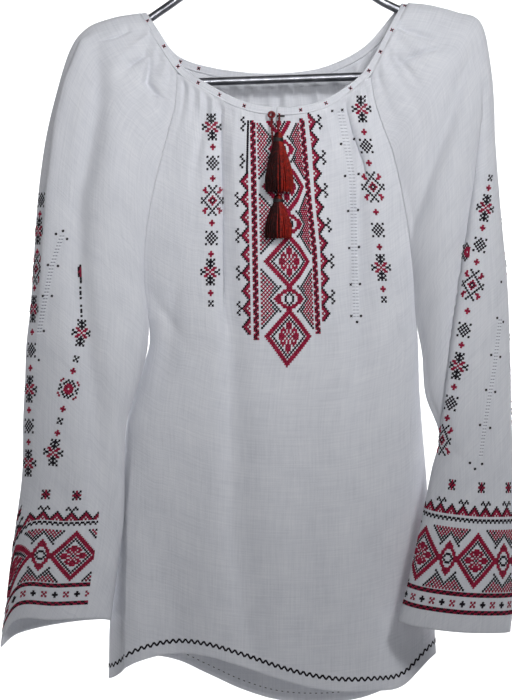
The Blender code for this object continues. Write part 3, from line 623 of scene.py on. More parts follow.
def crumple(points, amount):
    """Slight unevenness of hanging linen, from waves of 60 to 600 mm that don't fall together."""
    x, y, z = np.moveaxis(points, -1, 0)
    waves = (np.sin(x / 23 + 1.7 * np.sin(z / 61)) * np.sin(z / 97 + 0.6)
             + 0.6 * np.sin(x / 11.3 - z / 53 + 2.1) * np.sin(z / 37 + x / 71)
             + 0.35 * np.sin(z / 15.7 + x / 19.1) * np.sin(x / 31 - z / 83 + y / 9))
    return waves * amount


def grid_mesh(name, points, texture, seam, facing=None):
    """Mesh of a grid of points, with its cloth's texture and its distance from a seam."""
    rows, columns = points.shape[:2]
    shape = bmesh.new()
    bmesh.ops.create_grid(shape, x_segments=columns - 1, y_segments=rows - 1, size=1.0)
    mesh = bpy.data.meshes.new(name)
    shape.to_mesh(mesh)
    shape.free()
    flat = np.empty(len(mesh.vertices) * 3)
    mesh.vertices.foreach_get("co", flat)
    flat = flat.reshape(-1, 3)
    column = np.rint((flat[:, 0] + 1) / 2 * (columns - 1)).astype(int)
    row = np.rint((flat[:, 1] + 1) / 2 * (rows - 1)).astype(int)
    mesh.vertices.foreach_set("co", (points[row, column] * MM).ravel())
    corner = np.empty(len(mesh.loops), dtype=np.int32)
    mesh.loops.foreach_get("vertex_index", corner)
    weave_map = mesh.uv_layers.new(name="cloth")
    weave_map.data.foreach_set("uv", (texture[row, column][corner] * MM).ravel())
    from_seam = mesh.attributes.new("seam_mm", "FLOAT", "POINT")
    from_seam.data.foreach_set("value", seam[row, column])
    mesh.update()
    if facing is not None:
        middle = mesh.polygons[len(mesh.polygons) // 2 + columns // 2]
        vertex = middle.vertices[0]
        if middle.normal.dot(Vector(facing[row[vertex], column[vertex]])) < 0:
            mesh.flip_normals()
    mesh.shade_smooth()
    return mesh


def cloth_texture(points):
    """Distances across and down the cloth, for its weave."""
    down, across = (np.cumsum(np.pad(np.linalg.norm(np.diff(points, axis=axis), axis=2),
                                     ((1 - axis, 0), (axis, 0))), axis=axis)
                    for axis in (0, 1))
    across -= across[:, across.shape[1] // 2, None]
    return np.stack([across, down], axis=-1)


# Bleached linen: matt, faintly blue white, with uneven slubby threads both ways and a soft
# bloom of fibre.  Real threads are 0.45 mm apart; they are drawn 0.9 mm apart so that they show.
WEAVE = 0.9
ONE_WAVE = 0.31416          # scale at which the wave texture repeats once in a metre
SLUB = 0.62                 # slubs to the millimetre across a thread, which run 22 times as long
CLOUD = 0.034               # paler and darker patches of the cloth to the millimetre
WELT_EDGE = (2.4, 3.2)      # the seam's welt falls between these distances from the seam
linen, tree, shader = new_material("bleached_linen_plain_weave", "#dddee3", 0.86)
shader.inputs["Sheen Weight"].default_value = 0.12
shader.inputs["Sheen Roughness"].default_value = 0.6
cloth_map = add_node(tree, "UVMap", {"uv_map": "cloth"}).outputs["UV"]
threads = []
slubs = []
for axis, stretch in (("X", (1.0, 0.045, 1.0)), ("Y", (0.045, 1.0, 1.0))):
    threads.append(add_node(tree, "TexWave", {"wave_type": "BANDS", "bands_direction": axis},
                            {"Vector": cloth_map, "Scale": ONE_WAVE / (WEAVE * MM),
                             "Distortion": 1.6, "Detail": 1.0, "Detail Scale": 0.6}))
    drawn = add_node(tree, "Mapping", inputs={"Vector": cloth_map, "Scale": stretch})
    slubs.append(add_node(tree, "TexNoise", inputs={"Vector": drawn.outputs["Vector"],
                                                    "Scale": SLUB / MM, "Detail": 3.0}))
weave = add_node(tree, "Math", {"operation": "MULTIPLY"},
                 {0: threads[0].outputs["Fac"], 1: threads[1].outputs["Fac"]})
slub = add_node(tree, "Math", {"operation": "ADD"},
                {0: slubs[0].outputs["Fac"], 1: slubs[1].outputs["Fac"]})
cloudy = add_node(tree, "TexNoise", inputs={"Vector": cloth_map, "Scale": CLOUD / MM,
                                            "Detail": 4.0})
tone = add_node(tree, "Math", {"operation": "MULTIPLY_ADD"},
                {0: slub.outputs[0], 1: 0.2, 2: 0.21})
tone = add_node(tree, "Math", {"operation": "MULTIPLY_ADD"},
                {0: cloudy.outputs["Fac"], 1: 0.16, 2: tone.outputs[0]})
add_node(tree, "ValToRGB", inputs={"Fac": tone.outputs[0]}, feeds=shader.inputs["Base Color"],
         stops=((0.30, "#bfc2ca"), (0.48, "#d6d8df"), (0.66, "#e9eaee")))
seam_line = add_node(tree, "Attribute", {"attribute_name": "seam_mm"}).outputs["Fac"]
welt = add_node(tree, "MapRange", inputs={"Value": seam_line, "From Min": WELT_EDGE[0],
                                          "From Max": WELT_EDGE[1], "To Min": 1.0,
                                          "To Max": 0.0})
surface = add_node(tree, "Bump", inputs={"Height": welt.outputs[0], "Distance": 0.14 * MM})
for height, relief in ((slub, 0.22), (weave, 0.16)):
    surface = add_node(tree, "Bump", inputs={"Height": height.outputs[0], "Distance": relief * MM,
                                             "Normal": surface.outputs[0]})
tree.links.new(surface.outputs[0], shader.inputs["Normal"])


def plain_points(name, places, shares):
    """Points of one of the four pieces before its folds are pressed in."""
    return (sleeve_points if "sleeve" in name else body_points)(name, places, shares)


CALM_SEAM = 7.0             # folds and gathers die away this far from a seam
CRUMPLE = 0.55
ground = {}                 # points, outward normals and search tree of each shell
shell = {}
for name, (rows, columns, sign) in SHELLS.items():
    # A quarter of the rows lie close together under the neckband, where the gathers are.
    upper, last = (2, CUFF_ROW) if "sleeve" in name else (3, UNDERARM + len(SIDE_SEAMS) - 1)
    places = np.concatenate((np.linspace(0, upper, rows // 4, endpoint=False),
                             np.linspace(upper, last, rows - rows // 4)))
    plain = plain_points(name, places, np.linspace(0, 1, columns))
    plain_normals = outward_normals(plain, sign)
    from_seam = seam_distance(plain)
    calm = np.clip(from_seam / CALM_SEAM, 0, 1)
    calm = calm ** 2 * (3 - 2 * calm)
    # A sleeve's folds are pressed into the side that faces the front.
    seen = np.clip((0.3 - plain_normals[..., 1]) / 0.3, 0, 1) if "sleeve" in name else 1.0
    points = crease(plain, plain_normals, FOLDS[name], seen * calm)
    points = crease(points, plain_normals, CREASES[name], seen * calm)
    points = gather(points, plain_normals, GATHERS["sleeve" if "sleeve" in name else name], calm)
    points += plain_normals * (crumple(points, CRUMPLE) * calm)[..., None]
    # The top edge goes up inside the neckband.
    points = np.concatenate(((points[0] + unit(points[0] - points[4]) * TUCK)[None], points))
    from_seam = np.concatenate((from_seam[:1], from_seam))
    normals = outward_normals(points, sign)
    shell[name] = piece(name + "_linen",
                        grid_mesh(name + "_linen", points, cloth_texture(points), from_seam,
                                  normals), linen)
    wall = shell[name].modifiers.new("cloth", "SOLIDIFY")
    wall.thickness = CLOTH * MM
    wall.offset = 0.0
    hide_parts(name)
    corners = [(first, first + 1, first + columns + 1, first + columns)
               for row in range(rows) for first in range(row * columns, (row + 1) * columns - 1)]
    ground[name] = {"points": points, "normals": normals,
                    "tree": BVHTree.FromPolygons((points * MM).reshape(-1, 3).tolist(), corners)}

# ---------------------------------------------------------------- Neckband
# A narrow straight strip of the same linen folded over the gathered edges and stitched, with
# its two ends side by side at the centre front.
BAND_WIDTH = 8.0
BAND_THICKNESS = 2.2
BAND_GAP = 3.0
BAND_FOOT = 0.9             # how far above the pieces' upper edges its lower edge lies
BAND_STEPS = 560            # points along it, read from these points across each piece's edge
EDGE_COLUMNS = {"front": 49, "right_sleeve": 31, "back": 31, "left_sleeve": 31}
# Section of the folded strip: height up the band, and how far it stands out of its middle.
BAND_SECTION = ((0.0, 0.55), (0.5, 0.95), (1.2, 1.1), (1.7, 0.82), (2.4, 0.92), (4.0, 1.0),
                (5.6, 0.92), (6.3, 0.82), (6.9, 1.1), (7.5, 0.95), (8.0, 0.5))
NO_SEAM = 9.0               # a distance from a seam at which the linen shows none


def closed_run(points, start):
    """A line of points closed into a round, after it is rolled on by this many of them."""
    rolled = np.roll(np.array(points), start, axis=0)
    return np.vstack((rolled, rolled[:1]))


def even_out(line, times):
    """Smooth a line of points or directions, its two ends held."""
    eased = line.copy()
    for _ in range(times):
        eased[1:-1] = (eased[:-2] + 2 * eased[1:-1] + eased[2:]) / 4
    return eased


edge, upward, outward = [], [], []
for name, order in (("front", 2), ("right_sleeve", 2), ("back", -2), ("left_sleeve", -2)):
    last_row = CUFF_ROW if "sleeve" in name else CUFF_ROW + 1
    coarse_places = np.concatenate(((0, 0.25, 0.6, 1, 1.6, 2.3), np.arange(3, last_row + 1)))
    coarse = plain_points(name, coarse_places, np.linspace(0, 1, EDGE_COLUMNS[name]))
    edge.extend(coarse[0, ::order][:-1])
    upward.extend(unit(coarse[0] - coarse[2])[::order][:-1])
    outward.extend(outward_normals(coarse, SHELLS[name][2])[0, ::order][:-1])
start = -((EDGE_COLUMNS["front"] - 1) // 4)
fine = np.linspace(0, len(edge), BAND_STEPS)
edge, upward, outward = (smooth(even_out(closed_run(line, start), times), fine)
                         for line, times in ((edge, 2), (upward, 4), (outward, 4)))
along = unit(np.gradient(edge, axis=0))
upward = unit(upward - along * np.sum(upward * along, axis=1, keepdims=True))
facing = np.cross(along, upward)
facing *= np.sign(np.sum(facing * outward, axis=1, keepdims=True))
run = run_of(edge)
kept = (run > BAND_GAP / 2) & (run < run[-1] - BAND_GAP / 2)
edge, upward, facing, run, band_way = (line[kept]
                                       for line in (edge, upward, facing, run, along))
band_low = edge + upward * BAND_FOOT
section = list(BAND_SECTION) + [(height, -out) for height, out in reversed(BAND_SECTION)]
section.append(section[0])
pucker = 1 + 0.1 * np.sin(run / 2.3 + 1.5 * np.sin(run / 17)) * np.sin(run / 5.1)
band_points = np.stack([band_low + upward * height
                        + facing * (out * pucker * BAND_THICKNESS / 2)[:, None]
                        for height, out in section], axis=0)
band_run = np.broadcast_to(run, (len(section), len(run)))
band_across = np.broadcast_to(run_of(np.array(section))[:, None], band_run.shape)
band_mesh = grid_mesh("neckband_linen", band_points, np.stack([band_run, band_across], axis=-1),
                      np.full(band_run.shape, NO_SEAM))
shape = bmesh.new()
shape.from_mesh(band_mesh)
bmesh.ops.remove_doubles(shape, verts=shape.verts, dist=0.01 * MM)
bmesh.ops.holes_fill(shape, edges=shape.edges, sides=0)
bmesh.ops.recalc_face_normals(shape, faces=shape.faces)
shape.to_mesh(band_mesh)
shape.free()
neckband = piece("neckband_linen", band_mesh, linen)
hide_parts("neckband")

# ---------------------------------------------------------------- Embroidery on the front
# Counted cross stitch in crimson and black cotton floss: a centre panel of a flower frieze,
# lattice fillings, plaited lines and toothed borders, with a column of sprigs on either side.
# Every stitch is two arms laid over each other, each a three-sided strand of floss.
ARM_WIDTH = 1.3
ARM_HEIGHT = 0.42
UNDER_ARM = -0.05           # how high the first arm of a stitch lies over the linen
OVER_ARM = 0.14             # and the second one, over it
CELL_DROP = 2.08            # one row of stitches down the front

# Mercerised cotton: a low silky lustre, each stitch a little lighter or darker.
floss = {}
for letter, title, dark, light, glint in (
        ("r", "cotton_floss_crimson", "#74102c", "#a51d42", "#c4586a"),
        ("k", "cotton_floss_black", "#0e0a12", "#1e1722", "#5a4d60")):
    floss[letter], tree, shader = new_material(title, light, 0.62, grain=0.38,
                                               stops=((0.35, dark), (0.65, light)))
    shader.inputs["Specular IOR Level"].default_value = 0.2
    shader.inputs["Sheen Weight"].default_value = 0.06
    shader.inputs["Sheen Tint"].default_value = linear(glint)
    place = add_node(tree, "TexCoord").outputs["Object"]
    strands = add_node(tree, "TexNoise", inputs={"Vector": place, "Scale": 2.6 / MM,
                                                 "Detail": 1.0}).outputs["Fac"]
    add_node(tree, "Bump", inputs={"Height": strands, "Distance": 0.12 * MM},
             feeds=shader.inputs["Normal"])

# One arm of floss: a three-sided rod made along Z, then turned to lie along X with a flat side
# on the cloth, with a length, width and height of 1.
shape = bmesh.new()
bmesh.ops.create_cone(shape, cap_ends=True, segments=3, radius1=0.5, radius2=0.5, depth=1.0)
shape.verts.ensure_lookup_table()
ARM_POINTS = np.array([vert.co[:] for vert in shape.verts])
ARM_FACES = [[vert.index for vert in face.verts] for face in shape.faces]
shape.free()
apex = np.argmax(ARM_POINTS[:, 0])
spin = math.atan2(ARM_POINTS[apex, 1], ARM_POINTS[apex, 0])
ARM = np.stack([ARM_POINTS[:, 2],
                -math.sin(spin) * ARM_POINTS[:, 0] + math.cos(spin) * ARM_POINTS[:, 1],
                math.cos(spin) * ARM_POINTS[:, 0] + math.sin(spin) * ARM_POINTS[:, 1]], axis=1)
ARM[:, 2] = (ARM[:, 2] - ARM[:, 2].min()) / np.ptp(ARM[:, 2])
ARM[:, 1] /= np.ptp(ARM[:, 1])


def stitched(name, arms, letters="rk"):
    """One piece of many arms of thread: (start, end, normal, letter, lift, width) for each."""
    start, end, normal = (np.array([arm[index] for arm in arms]) for index in range(3))
    lift = np.array([arm[4] for arm in arms])[:, None]
    width = np.array([arm[5] for arm in arms])[:, None, None]
    run = end - start
    side = unit(np.cross(normal, run))
    rise = unit(np.cross(run, side))
    rise *= np.sign(np.sum(rise * normal, axis=1, keepdims=True))
    side = np.cross(rise, unit(run))
    middle = (start + end) / 2 + rise * (CLOTH / 2 + lift)
    count = len(ARM)
    points = (middle[:, None] + run[:, None] * ARM[None, :, :1]
              + side[:, None] * ARM[None, :, 1:2] * width
              + rise[:, None] * ARM[None, :, 2:] * ARM_HEIGHT)
    faces = [[corner + index * count for corner in face]
             for index in range(len(arms)) for face in ARM_FACES]
    mesh = bpy.data.meshes.new(name)
    mesh.from_pydata((points.reshape(-1, 3) * MM).tolist(), [], faces)
    made = piece(name, mesh, *(floss[letter] for letter in letters))
    colours = np.repeat([letters.index(arm[3]) for arm in arms], len(ARM_FACES))
    mesh.polygons.foreach_set("material_index", colours.astype(np.int32))
    shape = bmesh.new()
    shape.from_mesh(mesh)
    bmesh.ops.recalc_face_normals(shape, faces=shape.faces)
    shape.to_mesh(mesh)
    shape.free()
    return made


def work(arms, chart, corner):
    """Work a chart; corner(column, row) gives the cloth's point and normal at a cell's corner."""
    for row, letters in enumerate(chart):
        for column, letter in enumerate(letters):
            if letter == ".":
                continue
            spots = [corner(column + across, row + down)
                     for across, down in ((0, 0), (1, 1), (1, 0), (0, 1))]
            if any(spot is None for spot in spots):
                continue
            normal = unit(sum(spot[1] for spot in spots))
            for start, end, lift in ((0, 1, UNDER_ARM), (2, 3, OVER_ARM)):
                arms.append((spots[start][0], spots[end][0], normal, letter, lift, ARM_WIDTH))


EYE = np.array(camera.location) / MM
LEVEL = -30.0               # depth of the plane in which X and drop are measured


def laid(tree, x, drop):
    """Point and normal of the cloth where the front view shows this X and drop."""
    sight = np.array([x, LEVEL, -drop]) - EYE
    hit, normal, _, _ = tree.ray_cast(Vector(EYE * MM), Vector(unit(sight)))
    if hit is None:
        return None
    normal = np.array(normal)
    return np.array(hit) / MM, -normal if normal @ sight > 0 else normal


def flipped(rows):
    """A chart with left and right exchanged."""
    return [row[::-1] for row in rows]


def turned(rows):
    """A chart with its rows and columns exchanged."""
    return ["".join(column) for column in zip(*rows)]


# In a chart each letter is one stitch: r crimson, k black, and a dot is bare linen.
# A quarter of the frieze: from the centre of a flower down, and from the centre line out.
FRIEZE_QUARTER = (
    "k.rrrr...k.rrr",
    ".r.rrr..k.rrr.",
    "r.r.r..k.rrr..",
    "r.rrr.k.rrr...",
    "rr.r.k.rrr....",
    "rr..k.rrr.....",
    "rr.k.rrr......",
    "r.k.rrr.......",
    ".k.rrr........",
    "k.rrr.........",
    ".rrr..........",
    "rrr...........",
    "rr............",
    "rr............",
    "rrrr..........",
    "k.rrr.........",
    ".k..rrr.......",
    "..k..rrr......",
    "..k..rrrr.....",
)
FRIEZE_HALF = [row[:0:-1] + row for row in FRIEZE_QUARTER]
HALF_REPEAT = len(FRIEZE_HALF) - 1      # rows from a flower's centre to the narrowest place
# Half of a lattice filling: from the row it is mirrored about, and from its outer side in.
FILLING_HALF = (
    "r.r.k......",
    ".r.r.k.....",
    "r.r.r.k....",
    ".r.r.r.k...",
    "k.r.r.k.k..",
    ".r.r.r.k.k.",
    "r.r.r.r.k.k",
    ".r.k.r.k...",
    "r.r.r.k....",
    ".k.r.k.....",
    "r.r.k......",
    ".r.k.......",
    "r.k........",
    ".k.........",
    "k..........",
)
FILLING = FILLING_HALF[:0:-1] + FILLING_HALF
PLAIT = ("kr.", "rkr", ".rk", "rkr")
TOOTH = ("....k", "...kr", "..krr", ".krr.", "krr.r", ".krr.", "..krr", "...kr")
HORNS = (".k.", "k..", ".k.", "..k", ".k.", "k..", ".k.")
MOTIFS = {
    "bud": (".r.", "rrr", ".r."),
    "cross": ("k.k", ".k.", "k.k"),
    "rosette": ("k..k..k", "..k.k..", ".k.k.k.", "k.k.k.k", ".k.k.k.", "..k.k..", "k..k..k"),
    "sprig": ("...k.k.k...", "....kkk....", "...k.k.k...", "....kkk....", "..rr.k.rr..",
              "k..rr.rr..k", ".kk..r..kk.", "k..rr.rr..k", "..rr.k.rr..", "....kkk....",
              "...k.k.k...", "....kkk....", "...k.k.k..."),
    "rhomb": ("....k...k....", "..r..k.k..r..", ".rr...k...rr.", "..rr.k.k.rr..",
              "....k...k....", "...k..r..k...", "k.k..rkr..k.k", ".k..rk.kr..k.",
              "k.k..rkr..k.k", "...k..r..k...", "....k...k....", "..rr.k.k.rr..",
              ".rr...k...rr.", "..r..k.k..r..", "....k...k...."),
    "square": (".r..k.k..r.", "r..k.k.k..r", "..k.rrr.k..", "k..rrrrr..k", ".k.rr.rr.k.",
               "k..rrrrr..k", "..k.rrr.k..", "r..k.k.k..r", ".r..k.k..r."),
    "half_square": ("...k..", "k.k.k.", ".k.rrr", "k.rrrr", ".krr.r", "k.rrrr", ".k.rrr",
                    "k.k.k.", "...k.."),
    "folded": (".k", "kr", "kr", "rr", "kr", "kr", ".k", ".k", ".k"),
    "fold_line": ("k", ".", "k", "k", ".", "k", "."),
    "star": ("k.r.k", ".krk.", "rrkrr", ".krk.", "k.r.k"),
    "knot": ("k",),
}

front_tree = ground["front"]["tree"]
front_arms = []


def read(table, drop):
    """Read X from a table of (drop, X)."""
    return np.interp(drop, [row[0] for row in table], [row[1] for row in table])


def frieze_row(row):
    """Row of the frieze, counted from the centre of a flower either way."""
    repeat = 2 * HALF_REPEAT
    return FRIEZE_HALF[abs((row + HALF_REPEAT) % repeat - HALF_REPEAT)]


# The panel's lines: the two plaits, the frieze's centre and stitch, and the feet of the teeth.
PANEL_TOP = 271.5
LEFT_PLAIT = ((270, -22.4), (480, -18.6), (495, -18.4))
RIGHT_PLAIT = ((266, 26.5), (350, 34), (400, 39.3), (480, 43), (495, 43.4))
CENTRE = ((270, 3.5), (300, 7), (337, 11.3), (373, 13.6), (410, 14.4), (448, 14.5), (485, 13.8),
          (520, 11.6))
CENTRE_CELL = ((270, 1.42), (330, 1.7), (380, 1.8), (520, 1.8))
LEFT_TEETH = ((265, -25.6), (330, -27), (487, -24.0))
RIGHT_TEETH = ((265, 32.5), (300, 37.0), (350, 40), (400, 45.4), (480, 47.4))


def panel_corner(first_column, first_drop, cell_drop=CELL_DROP):
    """Corners of the panel's cells, counted from its centre line.

    There are 18 stitches from that line to each plait, and the first 6 on the right are as
    wide as CENTRE_CELL tells.
    """
    def corner(column, row):
        drop = first_drop + row * cell_drop
        centre = read(CENTRE, drop)
        x = np.interp(column + first_column, (-18, 0, 6, 18),
                      (read(LEFT_PLAIT, drop), centre, centre + 6 * read(CENTRE_CELL, drop),
                       read(RIGHT_PLAIT, drop)))
        return laid(front_tree, x, drop)
    return corner


def line_corner(table, first_column, first_drop, cell, cell_drop=CELL_DROP):
    """Corners of cells that stand in columns beside a line."""
    def corner(column, row):
        drop = first_drop + row * cell_drop
        return laid(front_tree, read(table, drop) + (column + first_column) * cell, drop)
    return corner


# The frieze: whole repeats up from the lowest flower, whose lower half ends it in a point.
LOWEST_FLOWER = 486.3
POINT_DROP = 2.3            # taller stitches draw the point out
POINT_ROWS = 13
FRIEZE_SIDE = -13.5         # its left side, in stitches from the centre line
work(front_arms, FRIEZE_HALF[:POINT_ROWS] + ["." * (len(FRIEZE_HALF[0]) // 2) + "r"],
     panel_corner(FRIEZE_SIDE, LOWEST_FLOWER - POINT_DROP / 2, POINT_DROP))
rows_up = int((LOWEST_FLOWER - PANEL_TOP) / CELL_DROP)
work(front_arms, [frieze_row(row) for row in range(rows_up, 0, -1)],
     panel_corner(FRIEZE_SIDE, LOWEST_FLOWER - (rows_up + 0.5) * CELL_DROP))
# Fillings on both sides of the frieze, one beside each narrow place of it.
FILLING_SIDES = (-15.3, 4.3)    # their left sides, in stitches from the centre line
for repeat in range(3):
    middle = LOWEST_FLOWER - (HALF_REPEAT * (1 + 2 * repeat) + 0.5) * CELL_DROP
    top = middle - (len(FILLING_HALF) - 1) * CELL_DROP
    skip = max(0, math.ceil((PANEL_TOP - top) / CELL_DROP))
    top += skip * CELL_DROP
    work(front_arms, FILLING[skip:], panel_corner(FILLING_SIDES[0], top))
    work(front_arms, flipped(FILLING[skip:]), panel_corner(FILLING_SIDES[1], top))
PLAIT_REPEATS = 26
PLAIT_DROP = 2.07
work(front_arms, PLAIT * PLAIT_REPEATS + PLAIT[:2],
     line_corner(LEFT_PLAIT, -1.5, 270.5, 1.75, PLAIT_DROP))
work(front_arms, PLAIT * PLAIT_REPEATS, line_corner(RIGHT_PLAIT, -1.5, 268.5, 1.6, PLAIT_DROP))
# Toothed borders: drops of the teeth's peaks, every second of which carries a pair of horns.
TOOTH_DROP = 17.85 / 8
LEFT_PEAKS = (476.8, 458.5, 441, 423, 404.5, 385.5, 367.5, 349.5, 331.5)
RIGHT_PEAKS = (463.5, 447, 428.7, 411, 393, 375, 357, 340.5, 323.5, 307.5, 289.5, 272)
for feet, peaks, tooth, horns, tooth_column, cell, horn_column in (
        (LEFT_TEETH, LEFT_PEAKS, TOOTH, HORNS, -5, 1.72, -7.5),
        (RIGHT_TEETH, RIGHT_PEAKS, flipped(TOOTH), flipped(HORNS), 0, 1.66, 4.5)):
    for number, peak in enumerate(peaks):
        work(front_arms, tooth, line_corner(feet, tooth_column, peak - 4.5 * TOOTH_DROP, cell,
                                            TOOTH_DROP))
        if number % 2 == 1:
            work(front_arms, horns, line_corner(feet, horn_column, peak - 3.5 * CELL_DROP, 1.8))
# Above the teeth the left border is a line of single stitches with two pairs of horns.
work(front_arms, ("k",) * 26, line_corner(LEFT_TEETH, -1.2, 270.5, 1.7))
for peak in (274, 311):
    work(front_arms, HORNS, line_corner(LEFT_TEETH, -5.0, peak - 3.5 * CELL_DROP, 1.7))

# The side columns: a line of (drop, X) that follows the cloth, and each motif's middle on it.
SIDE_COLUMNS = (
    (((270, -63.8), (297, -62.2), (350, -62.5), (404, -64), (422, -65), (455, -64)),
     (("sprig", 277), ("bud", 297), ("rosette", 313), ("bud", 328.5), ("rhomb", 350.5),
      ("bud", 373), ("rosette", 388), ("bud", 404), ("sprig", 422), ("bud", 443),
      ("cross", 453.5))),
    (((255, 86), (282, 89), (313, 94), (337, 98), (380, 103), (417, 106), (450, 109)),
     (("sprig", 259), ("bud", 282), ("rosette", 296), ("bud", 313), ("rhomb", 337),
      ("bud", 362), ("rosette", 380), ("bud", 397), ("sprig", 417.5), ("bud", 439),
      ("cross", 449.5))),
)
# Single knots beside the drawn-thread line, by X and drop.
FRONT_KNOTS = ((57, 261), (67, 260), (66, 294), (79, 289), (70, 326), (83.5, 324), (73, 361),
               (83, 360), (74, 398), (84, 397), (75.5, 434.5), (85, 434), (76, 466), (86, 466),
               (82, 472))
MOTIF_DROP = 2.05           # one row of a motif


def motif_corner(tree, table, chart, middle, cell, cell_drop):
    """Corners of a motif's cells, about its middle on a line of (drop, X)."""
    def corner(column, row):
        drop = middle + (row - len(chart) / 2) * cell_drop
        x = read(table, drop) + (column - len(chart[0]) / 2) * cell
        return laid(tree, x, drop)
    return corner


def work_columns(arms, tree, corner_of, columns, cell, knots, knot_cell):
    """Work columns of motifs and single knots; corner_of is the way their cells are laid."""
    for table, column in columns:
        for motif, middle in column:
            chart = MOTIFS[motif]
            work(arms, chart, corner_of(tree, table, chart, middle, cell, MOTIF_DROP))
    for x, drop in knots:
        chart = MOTIFS["knot"]
        work(arms, chart, corner_of(tree, ((drop, x),), chart, drop, knot_cell, knot_cell))


work_columns(front_arms, front_tree, motif_corner, SIDE_COLUMNS, 1.75, FRONT_KNOTS, 2.1)
stitched("front_embroidery", front_arms)

# ---------------------------------------------------------------- Embroidery on the sleeves
# Two columns of sprigs run down each sleeve to a broad cuff band, which goes round the sleeve:
# plaited lines, a row of small crosses, the flower frieze laid on its side and a toothed edge.


def wrapped_corner(tree, table, chart, middle, cell, cell_drop):
    """Corners of a motif's cells, laid round the curve of a sleeve from the motif's middle."""
    slope = (read(table, middle + 8) - read(table, middle - 8)) / 16

    def corner(column, row):
        down = (row - len(chart) / 2) * cell_drop
        centre = laid(tree, read(table, middle + down), middle + down)
        if centre is None:
            return None
        across = unit(np.cross(centre[1], np.array([slope, 0.0, -1.0])))
        across *= np.sign(across[0])
        guess = centre[0] + across * (column - len(chart[0]) / 2) * cell
        hit, normal, _, _ = tree.find_nearest(Vector(guess * MM))
        normal = np.array(normal)
        return np.array(hit) / MM, normal * np.sign(normal @ centre[1])
    return corner


def hem_spot(name, level):
    """Function that reads a shell's point and normal by distance along and above its hem.

    Distances along are measured at this level above it, on the line that is returned too.
    """
    points, normals = ground[name]["points"], ground[name]["normals"]
    run_up = np.stack([run_of(column) for column in points[::-1].swapaxes(0, 1)], axis=1)[::-1]
    row = int(np.argmin(np.abs(run_up[:, points.shape[1] // 4] - level)))
    run = run_of(points[row])
    rows = np.arange(len(points))

    def at_column(column, height):
        place = float(np.interp(height, run_up[::-1, column], rows[::-1]))
        upper = min(int(place), len(rows) - 2)
        part = place - upper
        return [grid[upper, column] * (1 - part) + grid[upper + 1, column] * part
                for grid in (points, normals)]

    def spot(along, height):
        place = float(np.interp(along, run, np.arange(len(run))))
        first = min(int(place), len(run) - 2)
        part = place - first
        near, far = at_column(first, height), at_column(first + 1, height)
        return (near[0] * (1 - part) + far[0] * part,
                unit(near[1] * (1 - part) + far[1] * part))

    return spot, run, points[row]


# The sleeves' columns, given in the way of the front's side columns.
SLEEVE_COLUMNS = {
    "left_sleeve": (
        (((345, -233), (381, -236.5), (402, -237.5), (435, -240), (459, -241.5), (502, -243.5),
          (540, -245.5), (575, -246), (612, -246.5), (640, -247)),
         (("rosette", 350), ("bud", 364), ("sprig", 381), ("bud", 402), ("rhomb", 419),
          ("bud", 438), ("sprig", 459), ("bud", 482), ("rosette", 500), ("bud", 518),
          ("sprig", 539), ("bud", 560), ("rosette", 576), ("bud", 592), ("sprig", 613))),
        (((415, -195.5), (480, -193), (499, -196), (509, -199), (521, -202), (539, -206.5),
          (559, -212), (571, -215), (583, -217.5), (602, -222)),
         (("folded", 424), ("fold_line", 444), ("fold_line", 462), ("sprig", 483),
          ("cross", 509), ("bud", 521), ("square", 539), ("bud", 559), ("cross", 571),
          ("bud", 583), ("sprig", 602.5)))),
    "right_sleeve": (
        (((325, 215.5), (358, 210.5), (395, 205), (435, 197), (480, 189), (516, 183),
          (553, 176), (590, 167)),
         (("cross", 328), ("bud", 338), ("sprig", 358), ("bud", 378), ("rosette", 395),
          ("bud", 412), ("rhomb", 435), ("bud", 461), ("rosette", 480), ("bud", 495),
          ("sprig", 516), ("bud", 537), ("rosette", 553), ("bud", 568), ("rhomb", 590))),
        (((390, 192), (420, 188.5)), (("half_square", 402),))),
}
BRAID = ("krrk", "rkkr")
WAVE = ("kk.kk.", "..k..k")
CROSSES = ("r.r....k....", ".r....kkk...", "r.r....k....")
# Each cuff: X of a flower's centre, bare margin beside the seam, "cell" and "rise" of a stitch
# across and up, then heights above the hem of what is worked on it.  Stars stand on every
# "star_step" stitches from "first_star", "trim" is the filling's edge that is left out, and
# "knots" are single ones above the band by X and drop.
CUFFS = {
    "left_sleeve": {"flower": -202.0, "margin": 33.0, "cell": 1.82, "rise": 1.88,
                    "braids": (16.4, 34.6), "crosses": 25.4, "frieze": 64.0, "wave": 96.5,
                    "teeth": 104.5, "stars": 125.0, "first_star": 2, "star_step": 18, "trim": 3,
                    "knots": ((-212, 381), (-219, 384), (-208, 389), (-227, 415), (-217, 416),
                              (-232, 446), (-223, 446), (-231, 481), (-236, 510), (-240, 545))},
    "right_sleeve": {"flower": 197.0, "margin": 2.0, "cell": 1.6, "rise": 2.05,
                     "braids": (20.0, 37.5), "crosses": 28.0, "frieze": 71.5, "wave": 110.5,
                     "teeth": 120.5, "stars": 144.0, "first_star": 0, "star_step": 22, "trim": 2,
                     "knots": ((226, 432), (222, 468), (228, 472), (216, 505), (225, 507),
                               (211, 540), (220, 542), (205, 575), (215, 578), (195, 613),
                               (207, 614), (200, 619))},
}
# The right sleeve's second column lies round its outer fold: heights above the hem.
OUTER_COLUMN = (("sprig", 145), ("bud", 166), ("rosette", 182), ("bud", 198), ("rhomb", 220),
                ("bud", 243), ("rosette", 259), ("bud", 274), ("sprig", 295), ("bud", 316),
                ("rosette", 331), ("bud", 347), ("rhomb", 369), ("bud", 391), ("sprig", 412))
OUTER_REACH = 9.0           # from the outer fold to the column's middle
FILLING_FROM = 6            # stitches from the frieze's middle to a filling on the cuff
FRIEZE_LEVEL = 62.0         # height above the hem at which stitches are counted round a cuff


